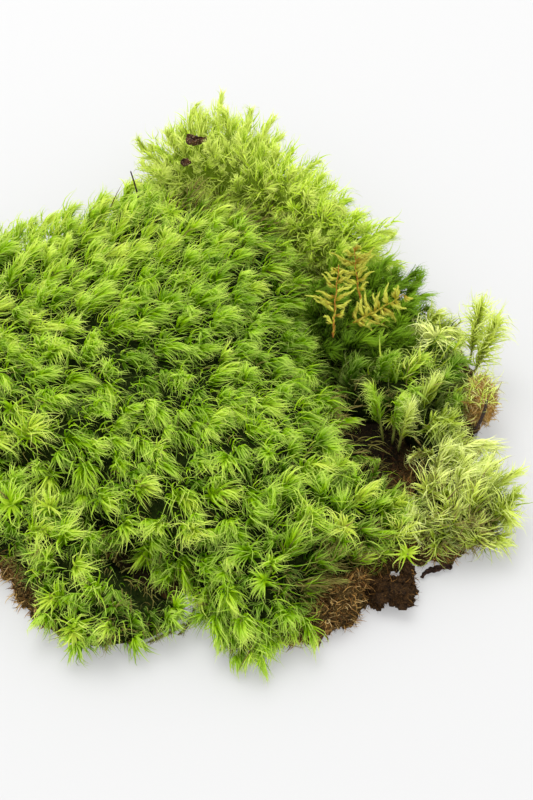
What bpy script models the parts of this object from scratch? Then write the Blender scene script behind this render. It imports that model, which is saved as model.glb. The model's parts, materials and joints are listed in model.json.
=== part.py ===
"""A clump of broom fork moss on its mat of forest duff, cut off flat underneath.

Five lobes of grown-together shoots stand on the mat, with single shoots, feather moss fronds
and bits of litter. Sizes and places are in millimetres until a mesh is made, then in metres.
The origin is under the middle of the clump. X runs along the longest side, Z is up.
"""

import math
import random
from dataclasses import dataclass

import bmesh
import bpy
from mathutils import Euler, Vector, noise
from mathutils.geometry import delaunay_2d_cdt

MM = 0.001
SEED = 11
GAP = 0.3
UP = Vector((0.0, 0.0, 1.0))

# The duff mat, its flat top, and the banks where the duff stands proud of it.
MAT_TOP = 5.0
MAT_LIP = 3.0
MAT_STEP = 9.0
MAT_ROUGHNESS = 0.9
MAT_OUTLINE = (
    (44, -107), (56, -103), (65.5, -93.5), (72, -80), (90, -76), (104, -67), (107, -56), (103, -41),
    (108, -24), (108, -6), (106, 8), (97, 22), (86, 29), (76, 42), (64, 57), (54, 72), (43, 86),
    (32, 92), (18, 95), (4, 94), (-6, 87), (-10, 72), (-18, 64), (-31, 54), (-46, 47),
    (-64, 43), (-88, 36), (-105, 22), (-108, 2), (-101, -20), (-88, -42), (-72, -62),
    (-56, -77), (-48, -86), (-42, -96.5), (-32, -103.5), (-24, -104), (-12, -102), (0, -98),
    (6, -88), (12, -88), (18, -98), (30, -104),
)
BANK_CLEARANCE = 5.0
BANKS = (
    ((46, -101), (57, -97), 7.0, 8.0),
    ((57, -97), (69, -83), 7.0, 8.0),
    ((-62, -68), (-40, -95), 6.0, 7.0),
)

# The moss: how far shoots stand apart, and how the main cushion's shoots are combed.
LOBE_BOTTOM = MAT_TOP + GAP
FLOOR_CLEARANCE = 1.5
CREVICE_CLEARANCE = 1.0
RIM_DROOP = 6.0
COMBING = (
    ((-80, 10), (0.8, 0.35)),
    ((-30, 40), (0.9, 0.45)),
    ((20, 60), (0.95, 0.2)),
    ((20, 0), (0.85, -0.25)),
    ((-40, -20), (0.7, -0.35)),
    ((0, -55), (0.45, -0.75)),
    ((40, -60), (0.55, -0.45)),
    ((28, -95), (0.15, -0.9)),
    ((-45, -75), (0.1, -0.35)),
    ((95, -50), (0.75, 0.55)),
    ((20, 98), (0.2, 0.5)),
    ((70, 55), (0.8, 0.5)),
    ((75, 10), (0.7, 0.1)),
)
FELT_HEIGHTS = (
    ((-95, 8), 25),
    ((-60, 35), 29),
    ((-20, 52), 30),
    ((20, 56), 27),
    ((0, 0), 31),
    ((-45, -25), 29),
    ((25, -45), 27),
    ((28, -95), 16),
    ((60, -70), 17),
    ((-10, -66), 22),
    ((-60, -58), 20),
    ((-30, -68), 20),
    ((5, -95), 12),
    ((-22, -95), 12),
    ((-8, 84), 28),
    ((10, 87), 35),
    ((26, 88), 35),
    ((42, 76), 30),
    ((50, 62), 30),
    ((72, 47), 28),
    ((62, 22), 20),
    ((80, 12), 20),
    ((70, -14), 20),
    ((96, 6), 19),
    ((94, -35), 14),
    ((104, -55), 13),
    ((86, -64), 12),
)
PITS = (
    ((-50, -36), 9, 5.0),
    ((-33, -18), 8, 4.0),
    ((12, 48), 8, 4.5),
    ((28, 3), 7, 4.0),
    ((48, -14), 8, 4.0),
    ((4, -60), 8, 4.5),
)
SEATS = (
    ((9, 80), 6.5),
    ((5, 75), 4.5),
    ((-12, 58), 4.5),
    ((57, 3), 7.0),
    ((66, 12), 7.0),
    ((73, 11), 8.0),
    ((101, 4), 5.5),
)


@dataclass(frozen=True)
class Lobe:
    """One cushion of shoots: its foot outline, its rounded edge and its shoots."""

    name: str
    foot: tuple
    edge_width: float
    edge_height: float
    spacing: float
    shoot: float
    lean: float
    colour: tuple


MAIN_CUSHION = Lobe(
    "main_cushion",
    (
        (-64, 48), (-46, 52), (-31, 61), (-19, 70), (0, 69.5), (20, 66), (37, 56), (44, 36),
        (45, 12), (53, -8), (59, -27), (68, -42), (78, -54), (79, -66), (66, -79), (50, -89),
        (42, -105), (31, -112), (21, -108.5), (15.5, -95), (10.5, -83), (-7, -77), (-19, -69.5),
        (-34, -59), (-54, -50.5), (-80, -46), (-100, -30), (-113, -4), (-111, 22), (-96, 39),
        (-80, 46),
    ),
    14.0, 22.0, 12.0, 9.5, 5.5, (0.22, 0.42, 0.05),
)
FRONT_LEFT_LOBE = Lobe(
    "front_left_lobe",
    (
        (7, -97), (-3, -90), (-12, -81.5), (-21.5, -73.5), (-36, -62.5), (-56, -53.5), (-80, -50),
        (-74, -62), (-56, -73), (-45, -81.5), (-38.5, -91), (-33, -102.5), (-24, -110), (-10, -109),
        (2, -105),
    ),
    8.0, 9.0, 11.0, 8.5, 3.5, (0.26, 0.46, 0.06),
)
BACK_RIDGE = Lobe(
    "back_ridge",
    (
        (-10, 78), (-4, 74), (8, 74), (24, 71), (40, 61), (48, 47), (57, 39.5), (66, 39), (73, 40),
        (75.5, 45.5), (70, 51.5), (59.5, 61.5), (52, 71.5), (42, 84), (32, 93.5), (20, 100), (5, 99), (-5, 92),
        (-10, 85),
    ),
    9.0, 24.0, 11.0, 11.0, 3.0, (0.27, 0.44, 0.07),
)
RIGHT_LOBE = Lobe(
    "right_lobe",
    (
        (62, -10.5), (74, -8), (85, -4), (88.5, 4), (88, 14), (92, 20), (97, 16), (96.5, 0),
        (95.3, -15), (95.5, -30), (98.5, -43), (108.5, -52), (111, -63), (104.5, -72.5), (91, -73), (84, -71),
        (82.5, -65), (82, -57), (84, -47), (86, -34), (84, -24), (76, -20), (64, -21), (58, -16),
    ),
    5.0, 12.0, 10.0, 9.0, 5.0, (0.38, 0.52, 0.14),
)
DARK_MOSS_PATCH = Lobe(
    "dark_moss_patch",
    (
        (49, 14), (50, 30), (57, 35), (68, 35.5), (79, 36), (87, 30), (87, 15), (82, 0), (70, -4),
        (59, -5), (52, 3),
    ),
    6.0, 13.0, 9.0, 6.5, 2.5, (0.07, 0.20, 0.03),
)
LOBES = (MAIN_CUSHION, FRONT_LEFT_LOBE, BACK_RIDGE, RIGHT_LOBE, DARK_MOSS_PATCH)


@dataclass(frozen=True)
class Shoot:
    """One free shoot: where it stands, where its hooked tip ends, and how wide its tuft is."""

    name: str
    foot: tuple
    bend: tuple
    tip: tuple
    tuft: float
    stem_share: float
    colour: tuple


GREEN_SHOOT = (0.27, 0.46, 0.06)
PALE_SHOOT = (0.42, 0.55, 0.16)
SHOOTS = (
    Shoot("hollow_shoot_1", (74, -30), (72.5, -28, 19), (68.5, -24, 32), 2.2, 0.45, GREEN_SHOOT),
    Shoot("hollow_shoot_2", (77, -31), (78, -30, 19), (79, -25.5, 28), 2.4, 0.35, GREEN_SHOOT),
    Shoot("hollow_shoot_3", (79, -34), (80, -34, 19), (82.5, -30.5, 30), 2.0, 0.40, GREEN_SHOOT),
    Shoot("edge_shoot_1", (106, 4.5), (106.5, 4.5, 20), (107.5, 7, 38), 3.4, 0.40, PALE_SHOOT),
    Shoot("edge_shoot_2", (106, -2), (110.5, -2, 18), (113, 1, 36), 3.2, 0.35, PALE_SHOOT),
    Shoot("star_shoot", (78.5, -74), (79, -78, 12), (80, -86, 16), 2.8, 0.30, PALE_SHOOT),
)
STEM_RADIUS = 0.8
STEM_LIFT = 1.2

# Feather moss: stem points, side branchlets and the blade's thickness.
FROND_THICKNESS = 1.0
FROND_STEM = 0.8
BRANCHLET_WIDTH = 1.5


@dataclass(frozen=True)
class Frond:
    """One feather moss frond: its foot and tip, the way its blade faces, and its branchlets."""

    name: str
    foot: tuple
    tip: tuple
    facing: tuple
    arch: float
    branchlets: tuple


FRONDS = (
    Frond(
        "frond_1", (57, -1, 26), (59, 18, 43), (0.1, -0.66, 0.75), 1.5,
        (
            (6.0, -3.5), (8.5, 4.0), (10.5, -9.5), (12.5, 7.5), (14.0, -7.0), (15.5, 6.5),
            (17.0, -6.5), (18.5, 4.0), (20.0, -4.0), (21.5, 2.5),
        ),
    ),
    Frond(
        "frond_2", (67, 14, 26.5), (64.5, 27, 42), (0.2, -0.66, 0.75), 1.5,
        (
            (8.0, 6.0), (9.5, -5.0), (11.5, 7.0), (14.0, -7.5), (16.0, 4.5), (17.5, -3.5),
        ),
    ),
    Frond(
        "frond_3", (64, 6, 25.5), (82, 13.5, 32), (-0.1, -0.55, 0.83), 2.5,
        (
            (4.0, 4.0), (5.5, -4.5), (8.0, 6.5), (10.0, -5.5), (12.0, 6.5), (14.0, -5.0),
            (16.0, 5.0), (18.0, -3.5), (19.5, 3.0),
        ),
    ),
)

# Colours of the duff, the soil, the rooting felt, the feather moss and the litter.
DUFF = (0.13, 0.07, 0.035)
SOIL = (0.09, 0.035, 0.018)
ORANGE_FELT = (0.36, 0.19, 0.06)
GOLD = (0.50, 0.42, 0.07)
BROWN = (0.16, 0.07, 0.03)
DARK_BROWN = (0.05, 0.025, 0.012)
OLIVE = (0.16, 0.15, 0.05)


def smooth_loop(points, step):
    """Return a closed curve through the points, as even steps, running anticlockwise."""
    fine = []
    count = len(points)
    for i in range(count):
        a, b, c, d = (Vector(points[(i + k) % count]) for k in (-1, 0, 1, 2))
        for part in range(8):
            t = part / 8
            fine.append(
                0.5 * (2 * b + (c - a) * t + (2 * a - 5 * b + 4 * c - d) * t * t
                       + (3 * b - 3 * c + d - a) * t ** 3)
            )
    area = sum(p.cross(q) for p, q in zip(fine, fine[1:] + fine[:1]))
    if area < 0:
        fine.reverse()
    return even_steps(fine, step)


def even_steps(loop, step):
    """Return the closed polyline's points moved to even distances along it."""
    sides = [(q - p).length for p, q in zip(loop, loop[1:] + loop[:1])]
    count = max(8, round(sum(sides) / step))
    pitch = sum(sides) / count
    points = []
    walked = 0.0
    wanted = 0.0
    for i, side in enumerate(sides):
        while wanted < walked + side and len(points) < count:
            t = (wanted - walked) / side
            points.append(loop[i].lerp(loop[(i + 1) % len(loop)], t))
            wanted += pitch
        walked += side
    return points


def outward_normals(loop):
    """Return the outward direction at each point of an anticlockwise loop."""
    normals = []
    for i, point in enumerate(loop):
        along = loop[(i + 1) % len(loop)] - loop[i - 1]
        normals.append(Vector((along.y, -along.x)).normalized())
    return normals


def grown_loop(loop, amount, step):
    """Return the loop moved outwards by an amount, in even steps."""
    moved = [p + n * amount for p, n in zip(loop, outward_normals(loop))]
    return even_steps(moved, step)


def closest_on_side(point, start, end):
    """Return the closest point to a point on one side of a loop."""
    along = end - start
    t = (point - start).dot(along) / max(along.length_squared, 1e-9)
    return start + along * min(max(t, 0.0), 1.0)


def is_inside(point, loop):
    """Return whether a point lies inside a loop."""
    inside = False
    for p, q in zip(loop, loop[1:] + loop[:1]):
        if (p.y > point.y) != (q.y > point.y):
            if point.x < p.x + (q.x - p.x) * (point.y - p.y) / (q.y - p.y):
                inside = not inside
    return inside


def distance_outside(point, loop):
    """Return how far a point is outside a loop, negative inside."""
    nearest = min(
        (point - closest_on_side(point, p, q)).length for p, q in zip(loop, loop[1:] + loop[:1])
    )
    return -nearest if is_inside(point, loop) else nearest


def inward_pull(point, loop):
    """Return the inward direction near a loop's edge, fading to nothing along its middle."""
    pull = Vector((0.0, 0.0))
    total = 0.0
    for p, q in zip(loop, loop[1:] + loop[:1]):
        gap = (point - closest_on_side(point, p, q)).length
        weight = (q - p).length / (gap * gap + 0.05) ** 2
        along = (q - p).normalized()
        pull += Vector((-along.y, along.x)) * weight
        total += weight
    return pull / total


def fade(value):
    """Return a smooth step from 0 to 1."""
    t = min(max(value, 0.0), 1.0)
    return t * t * (3 - 2 * t)


def combed(point):
    """Return the way the moss is combed at a place, from the nearest combing marks."""
    total = Vector((0.0, 0.0))
    weights = 0.0
    for place, way in COMBING:
        weight = 1.0 / ((point - Vector(place)).length_squared + 60.0) ** 1.5
        total += Vector(way) * weight
        weights += weight
    return total / weights


def felt_height(point):
    """Return the height of the felt that the shoots grow from, from the nearest height marks."""
    total = 0.0
    weights = 0.0
    for place, height in FELT_HEIGHTS:
        weight = 1.0 / ((point - Vector(place)).length_squared + 40.0) ** 1.8
        total += height * weight
        weights += weight
    return total / weights


def bank_height(point):
    """Return how far the duff's banks stand over its flat top at a place, if no moss is there."""
    rise = 0.0
    for start, end, height, width in BANKS:
        gap = (point - closest_on_side(point, Vector(start), Vector(end))).length
        if gap < width:
            rise = max(rise, height * (1 - (gap / width) ** 2))
    if rise > 0:
        to_moss = min(distance_outside(point, foot) for foot in FEET)
        rise *= fade((to_moss - BANK_CLEARANCE) / 2.0)
    return rise


def new_object(name, verts, faces, colour, roughness, smooth=False):
    """Make one named object from points in millimetres, with its own material."""
    mesh = bpy.data.meshes.new(name)
    mesh.from_pydata([Vector(v) * MM for v in verts], [], faces)
    bm = bmesh.new()
    bm.from_mesh(mesh)
    bmesh.ops.recalc_face_normals(bm, faces=bm.faces)
    bmesh.ops.triangulate(bm, faces=bm.faces)
    bm.to_mesh(mesh)
    bm.free()
    if smooth:
        mesh.shade_smooth()
        mesh.set_sharp_from_angle(angle=math.radians(50))
    material = bpy.data.materials.new(name)
    material.use_nodes = True
    shader = material.node_tree.nodes["Principled BSDF"]
    shader.inputs["Base Color"].default_value = (*colour, 1.0)
    shader.inputs["Roughness"].default_value = roughness
    shader.inputs["Metallic"].default_value = 0.0
    mesh.materials.append(material)
    obj = bpy.data.objects.new(name, mesh)
    bpy.context.scene.collection.objects.link(obj)
    return obj


class Cushion:
    """The solid of one lobe: a rounded cushion whose shoots are hooked, faceted locks."""

    def __init__(self, lobe, own_foot, other_feet, seed):
        """Lay out the lobe's shoots on its unrolled surface."""
        self.lobe = lobe
        self.random = random.Random(seed)
        self.foot = own_foot
        self.other_feet = other_feet
        mean = math.sqrt((lobe.edge_width ** 2 + lobe.edge_height ** 2) / 2)
        self.arc = mean * math.pi / 2
        self.rim = grown_loop(own_foot, self.arc - lobe.edge_width, lobe.spacing * 0.95)
        self.sites = self.hexagonal_sites()
        self.verts = []
        self.faces = []

    def hexagonal_sites(self):
        """Return shoot places on a jittered hexagonal grid, clear of the rim."""
        spacing = self.lobe.spacing
        xs = [p.x for p in self.rim]
        ys = [p.y for p in self.rim]
        row_pitch = spacing * math.sqrt(3) / 2
        sites = []
        rows = int((max(ys) - min(ys)) / row_pitch) + 2
        columns = int((max(xs) - min(xs)) / spacing) + 2
        for row in range(rows):
            for column in range(columns):
                x = min(xs) + (column + 0.5 * (row % 2)) * spacing
                y = min(ys) + row * row_pitch
                jitter = spacing * 0.2
                site = Vector((
                    x + self.random.uniform(-jitter, jitter),
                    y + self.random.uniform(-jitter, jitter),
                ))
                if distance_outside(site, self.rim) < -spacing * 0.5:
                    sites.append(site)
        return sites

    def surface(self, point):
        """Return the cushion's felt surface over an unrolled place: position, normal, edge share."""
        lobe = self.lobe
        depth = max(-distance_outside(point, self.rim), 0.0)
        share = min(depth / self.arc, 1.0)
        turn = share * math.pi / 2
        pull = inward_pull(point, self.rim)
        shift = (self.arc - lobe.edge_width) + lobe.edge_width * (1 - math.cos(turn)) - depth
        plan = point + pull * (shift if share < 1.0 else 0.0)
        height = LOBE_BOTTOM + (felt_height(plan) - LOBE_BOTTOM) * math.sin(turn)
        height += 2.0 * share * noise.noise(Vector((plan.x, plan.y, 0.0)) / 26)
        for place, width, drop in PITS:
            height -= drop * share * fade(1 - (plan - Vector(place)).length / width)
        out = -pull * math.cos(turn) / lobe.edge_width
        normal = Vector((out.x, out.y, math.sin(turn) / lobe.edge_height + 0.004)).normalized()
        return Vector((plan.x, plan.y, height)), normal, share

    def shoot_size(self, plan):
        """Return the share of its full length that a shoot has, less where litter is seated."""
        size = self.random.uniform(0.82, 1.12)
        for place, width in SEATS:
            if (plan.xy - Vector(place)).length < width:
                size *= 0.3
        return size

    def is_clear(self, tip):
        """Return whether a shoot's tip keeps to its own side of every crevice."""
        plan = Vector((tip.x, tip.y))
        own = distance_outside(plan, self.foot)
        return all(
            own + CREVICE_CLEARANCE < distance_outside(plan, other) for other in self.other_feet
        )

    def lowest(self, plan):
        """Return the lowest a shoot may hang at a place: over the duff, or just off the ground."""
        if distance_outside(plan, MAT_LOOP) < 2.0:
            return MAT_TOP + bank_height(plan) + 2.0
        return FLOOR_CLEARANCE

    def shoot_reach(self, root, normal, share):
        """Return where a shoot's tip stands, seen from its root, at its full free length."""
        lobe = self.lobe
        comb = combed(Vector((root.x, root.y)))
        way = (normal + UP * 0.25 * share).normalized()
        size = self.shoot_size(root)
        sweep = Vector((comb.x, comb.y, -0.25)) * lobe.lean * (0.25 + 0.75 * share)
        droop = UP * -RIM_DROOP * (1 - share) ** 2
        for length in (1.0, 0.85, 0.7, 0.55, 0.4, 0.25, 0.12):
            straight = way * lobe.shoot * size * length
            hook = (sweep + droop) * size * length
            tip = root + straight + hook
            if self.is_clear(tip) and tip.z >= self.lowest(Vector((tip.x, tip.y))):
                break
        return straight, hook

    def add_shoot(self, site, ring, valleys):
        """Add one lock: a ring of valley points, a ring halfway up, and a hooked tip."""
        root, normal, share = self.surface(site)
        straight, hook = self.shoot_reach(root, normal, share)
        first = len(self.verts)
        for key in ring:
            halfway = self.verts[valleys[key]].lerp(root, 0.42) + straight * 0.45 + hook * 0.18
            self.verts.append(halfway)
        tip = len(self.verts)
        self.verts.append(root + straight + hook)
        count = len(ring)
        for i in range(count):
            j = (i + 1) % count
            low, low_next = valleys[ring[i]], valleys[ring[j]]
            self.faces.append((low, low_next, first + j))
            self.faces.append((low, first + j, first + i))
            self.faces.append((first + i, first + j, tip))

    def build(self):
        """Make the lobe's object: shoots above, a wall to the foot, and a flat cut below."""
        rim_count = len(self.rim)
        flat = self.rim + self.sites
        edges = [(i, (i + 1) % rim_count) for i in range(rim_count)]
        points, _, triangles, origins, _, _ = delaunay_2d_cdt(flat, edges, [], 1, 1e-6)
        number = [origin[0] for origin in origins]
        triangles = [tuple(number[v] for v in t) for t in triangles]
        for rim_point in self.rim:
            foot, _, _ = self.surface(rim_point)
            self.verts.append(Vector((foot.x, foot.y, LOBE_BOTTOM)))
        valleys = {}
        centres = {}
        around = {i: [] for i in range(len(flat))}
        for key, triangle in enumerate(triangles):
            centre = sum((flat[v] for v in triangle), Vector((0.0, 0.0))) / 3
            position, normal, _ = self.surface(centre)
            valleys[key] = len(self.verts)
            centres[key] = centre
            self.verts.append(position - normal * 1.0)
            for v in triangle:
                around[v].append(key)
        for v, keys in around.items():
            start = flat[(v + 1) % rim_count] - flat[v] if v < rim_count else Vector((1.0, 0.0))
            keys.sort(key=lambda k: anticlockwise_turn(start, centres[k] - flat[v]))
            if v >= rim_count:
                self.add_shoot(flat[v], keys, valleys)
                continue
            for a, b in zip(keys, keys[1:]):
                self.faces.append((v, valleys[a], valleys[b]))
            self.faces.append((v, (v + 1) % rim_count, valleys[keys[0]]))
        self.faces += bottom_faces(self.verts[:rim_count])
        return new_object(self.lobe.name, self.verts, self.faces, self.lobe.colour, 0.6)


def anticlockwise_turn(start, way):
    """Return the turn from one direction anticlockwise to another, from 0 to a full circle."""
    turn = math.atan2(start.cross(way), start.dot(way))
    return turn if turn >= 0 else turn + math.tau


def bottom_faces(loop):
    """Return triangles facing down that close a flat loop of points."""
    flat = [Vector((v.x, v.y)) for v in loop]
    edges = [(i, (i + 1) % len(flat)) for i in range(len(flat))]
    _, _, triangles, origins, _, _ = delaunay_2d_cdt(flat, edges, [], 1, 1e-6)
    return [tuple(origins[v][0] for v in reversed(t)) for t in triangles]


def build_mat():
    """Make the duff mat: flat below, flat under the moss, and banked where it shows."""
    rim = MAT_LOOP
    inner = [p - n * 1.2 for p, n in zip(rim, outward_normals(rim))]
    grid = bank_grid(rim)
    count = len(rim)
    edges = [(i, (i + 1) % count) for i in range(count)]
    _, _, triangles, origins, _, _ = delaunay_2d_cdt(inner + grid, edges, [], 1, 1e-6)
    verts = [Vector((p.x, p.y, 0.0)) for p in rim]
    for point in inner:
        verts.append(Vector((point.x, point.y, MAT_LIP + bank_height(point))))
    for point in grid:
        rise = bank_height(point)
        bump = MAT_ROUGHNESS * noise.noise(Vector((point.x, point.y, 4.0)) / 5) * fade(rise / 3)
        verts.append(Vector((point.x, point.y, MAT_TOP + rise + bump)))
    faces = [tuple(origins[v][0] + count for v in t) for t in triangles]
    for i in range(count):
        j = (i + 1) % count
        faces.append((i, j, count + j))
        faces.append((i, count + j, count + i))
    faces += bottom_faces(verts[:count])
    return new_object("duff_mat", verts, faces, DUFF, 0.9)


def bank_grid(rim):
    """Return an even grid of points on the mat around its banks."""
    grid = []
    pitch = BANK_CLEARANCE * 0.8
    for column in range(round((max(p.x for p in rim) - min(p.x for p in rim)) / pitch) + 1):
        for row in range(round((max(p.y for p in rim) - min(p.y for p in rim)) / pitch) + 1):
            point = Vector((
                min(p.x for p in rim) + column * pitch,
                min(p.y for p in rim) + (row + 0.5 * (column % 2)) * pitch,
            ))
            to_bank = min(
                (point - closest_on_side(point, Vector(start), Vector(end))).length - width
                for start, end, _, width in BANKS
            )
            if to_bank < pitch and distance_outside(point, rim) < -3.0:
                grid.append(point)
    return grid


def bent_path(foot, bend, tip, count):
    """Return points along a smooth bend from a foot, towards a bend point, to a tip."""
    points = []
    for i in range(count):
        t = i / (count - 1)
        start = Vector(foot).lerp(Vector(bend), t)
        points.append(start.lerp(Vector(bend).lerp(Vector(tip), t), t))
    return points


def tapered_rod(name, path, radii, sides, colour):
    """Make a closed rod along a path, with a radius at each point."""
    verts = []
    faces = []
    across = Vector((0.3, 1.0, 0.2))
    for i, (centre, radius) in enumerate(zip(path, radii)):
        along = (path[min(i + 1, len(path) - 1)] - path[max(i - 1, 0)]).normalized()
        side = along.cross(across).normalized()
        other = along.cross(side)
        for k in range(sides):
            turn = math.tau * k / sides
            verts.append(centre + (side * math.cos(turn) + other * math.sin(turn)) * radius)
    for i in range(len(path) - 1):
        for k in range(sides):
            a = i * sides + k
            b = i * sides + (k + 1) % sides
            faces.append((a, b, b + sides, a + sides))
    faces.append(tuple(reversed(range(sides))))
    faces.append(tuple(range(len(verts) - sides, len(verts))))
    return new_object(name, verts, faces, colour, 0.6)


def build_shoot(shoot):
    """Make a free shoot: a thin stem, then a spindle-shaped tuft with a hooked point."""
    foot = Vector(shoot.foot)
    foot_height = MAT_TOP + bank_height(foot) + (STEM_LIFT if bank_height(foot) > 0 else GAP)
    path = bent_path((foot.x, foot.y, foot_height), shoot.bend, shoot.tip, 8)
    radii = []
    for i in range(8):
        share = (i / 7 - shoot.stem_share) / (1 - shoot.stem_share)
        if share <= 0:
            radii.append(STEM_RADIUS)
            continue
        radii.append(max(0.35, shoot.tuft * math.sin(math.pi * min(share * 0.75 + 0.25, 1.0))))
    return tapered_rod(shoot.name, path, radii, 6, shoot.colour)


def frond_outline(length, branchlets):
    """Return the flat outline of a frond, anticlockwise: stem along Y, branchlets to each side."""
    right = []
    left = []
    for along, reach in branchlets:
        sign = 1 if reach > 0 else -1
        half = BRANCHLET_WIDTH / 2
        edge = FROND_STEM * (1 - 0.5 * along / length) * sign
        lift = abs(reach) * 0.45
        finger = (
            (edge, along - half),
            (reach * 0.6, along + lift * 0.45 - half),
            (reach, along + lift),
            (reach * 0.55, along + lift * 0.5 + half),
            (edge, along + half),
        )
        (right if sign > 0 else left).append(finger)
    outline = [(FROND_STEM, 0.0)]
    for finger in right:
        outline += finger
    outline.append((0.0, length))
    for finger in reversed(left):
        outline += reversed(finger)
    outline.append((-FROND_STEM, 0.0))
    return outline


def build_frond(frond):
    """Make a frond: its flat outline with a thickness, stood up, turned and arched."""
    foot = Vector(frond.foot)
    rise = Vector(frond.tip) - foot
    along = rise.normalized()
    facing = Vector(frond.facing)
    across = along.cross(facing).normalized()
    facing = across.cross(along)
    outline = frond_outline(rise.length, frond.branchlets)
    count = len(outline)
    verts = []
    for face_side in (-0.5, 0.5):
        for x, y in outline:
            sag = frond.arch * ((x / 8) ** 2 + math.sin(math.pi * y / rise.length))
            offset = face_side * FROND_THICKNESS - sag
            verts.append(foot + across * x + along * y + facing * offset)
    flat = [Vector(p) for p in outline]
    edges = [(i, (i + 1) % count) for i in range(count)]
    _, _, triangles, origins, _, _ = delaunay_2d_cdt(flat, edges, [], 1, 1e-6)
    faces = []
    for triangle in triangles:
        numbers = [origins[v][0] for v in triangle]
        faces.append(tuple(reversed(numbers)))
        faces.append(tuple(n + count for n in numbers))
    for i in range(count):
        j = (i + 1) % count
        faces.append((i, j, count + j))
        faces.append((i, count + j, count + i))
    return new_object(frond.name, verts, faces, GOLD, 0.6)


def build_lump(name, centre, radii, turn, roughness, floor, colour, seed):
    """Make a rough lump, turned about the vertical, with a flat underside where it lies."""
    bm = bmesh.new()
    bmesh.ops.create_icosphere(bm, subdivisions=2, radius=1.0)
    for vert in bm.verts:
        swell = 1 + roughness * noise.noise(vert.co * 2.1 + Vector((seed, 0.0, 0.0)))
        reach = Vector(c * r * swell for c, r in zip(vert.co, radii))
        reach.rotate(Euler((0.0, 0.0, math.radians(turn))))
        point = Vector(centre) + reach
        vert.co = Vector((point.x, point.y, max(point.z, floor)))
    verts = [v.co.copy() for v in bm.verts]
    faces = [tuple(v.index for v in f.verts) for f in bm.faces]
    bm.free()
    return new_object(name, verts, faces, colour, 0.9)


def build_chip(name, start, end, width, thickness, curl, colour):
    """Make a thin curled chip, such as a dead leaf or a strip of bark, between two points."""
    along = Vector(end) - Vector(start)
    across = along.cross(UP).normalized()
    rows = 5
    verts = []
    for i in range(rows):
        t = i / (rows - 1)
        arch = UP * curl * math.sin(math.pi * t)
        half = width / 2 * (0.45 + 0.55 * math.sin(math.pi * (0.15 + 0.7 * t)))
        middle = Vector(start) + along * t + arch
        edge_lift = UP * curl * 0.6
        verts += [
            middle - across * half + edge_lift,
            middle - UP * thickness / 2,
            middle + across * half * 0.8 + edge_lift * 0.7,
            middle + UP * thickness / 2,
        ]
    faces = []
    for i in range(rows - 1):
        for k in range(4):
            a = i * 4 + k
            b = i * 4 + (k + 1) % 4
            faces.append((a, b, b + 4, a + 4))
    faces.append((3, 2, 1, 0))
    faces.append(tuple(range(len(verts) - 4, len(verts))))
    return new_object(name, verts, faces, colour, 0.8)


def build_litter():
    """Make the soil, the felt wad, and the bits of litter in and on the moss."""
    build_lump("humus_lump", (75, -88.5, 3.5), (8, 3.6, 4.5), 36, 0.35, 0.0, SOIL, 3)
    build_lump("felt_wad", (107, -18.5, 12.5), (4.6, 7.2, 7.5), -10, 0.14, LOBE_BOTTOM, ORANGE_FELT, 8)
    build_chip("bark_strip", (84.6, -82, 1.1), (95, -77.6, 1.5), 2.8, 1.1, 0.6, DARK_BROWN)
    build_chip("dead_leaf_1", (5, 79.5, 39), (12.5, 80.5, 40), 5.4, 1.2, 2.4, BROWN)
    build_chip("dead_leaf_2", (3, 74.5, 34.5), (6.5, 73.5, 35), 3.2, 1.0, 1.4, BROWN)
    needle = bent_path((105, -30.5, 13), (107.5, -28.5, 17), (108.5, -24.5, 21.5), 4)
    tapered_rod("needle", needle, (0.45, 0.6, 0.6, 0.35), 6, DARK_BROWN)
    stalk = bent_path((-12, 58, 34), (-12.5, 58.5, 39), (-14, 59, 46), 4)
    tapered_rod("dark_hair", stalk, (0.4, 0.35, 0.3, 0.25), 5, DARK_BROWN)
    first = bent_path((-4, -106.5, 0.9), (2, -104.5, 1.5), (8, -99.5, 0.9), 6)
    tapered_rod("dead_stem_1", first, (0.5, 1.0, 1.1, 1.0, 0.8, 0.4), 5, OLIVE)
    second = bent_path((6, -103.5, 0.9), (10.5, -100.5, 1.5), (11, -93.5, 0.9), 6)
    tapered_rod("dead_stem_2", second, (0.5, 0.9, 1.0, 0.9, 0.7, 0.4), 5, OLIVE)


def centre_on_origin():
    """Move every mesh so that the whole clump's box stands centred over the origin."""
    meshes = [obj.data for obj in bpy.data.objects if obj.type == "MESH"]
    corners = [v.co for mesh in meshes for v in mesh.vertices]
    shift = Vector((
        -(min(c.x for c in corners) + max(c.x for c in corners)) / 2,
        -(min(c.y for c in corners) + max(c.y for c in corners)) / 2,
        -min(c.z for c in corners),
    ))
    for mesh in meshes:
        for vertex in mesh.vertices:
            vertex.co += shift


for old in list(bpy.data.objects):
    bpy.data.objects.remove(old)

MAT_LOOP = smooth_loop(MAT_OUTLINE, MAT_STEP)
FEET = [smooth_loop(lobe.foot, 6.0) for lobe in LOBES]
build_mat()
for order, one_lobe in enumerate(LOBES):
    neighbours = FEET[:order] + FEET[order + 1:]
    Cushion(one_lobe, FEET[order], neighbours, SEED + order).build()
for one_shoot in SHOOTS:
    build_shoot(one_shoot)
for one_frond in FRONDS:
    build_frond(one_frond)
build_litter()
centre_on_origin()
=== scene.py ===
"""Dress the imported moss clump: leaves on every shoot, fibrous duff, litter, light and camera.

The solids of the lobes are read for the places and the lean of their shoots, and each shoot is
grown again as a stem tip with a spiral of fine, hooked leaves. Lengths are in metres unless a
name ends in _mm.
"""

from __future__ import annotations

import json
import logging
import math
from dataclasses import dataclass, field, replace
from enum import Enum
from typing import Union

import bmesh
import bpy
import numpy as np
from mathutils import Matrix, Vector
from mathutils.bvhtree import BVHTree
from mathutils.kdtree import KDTree

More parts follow.
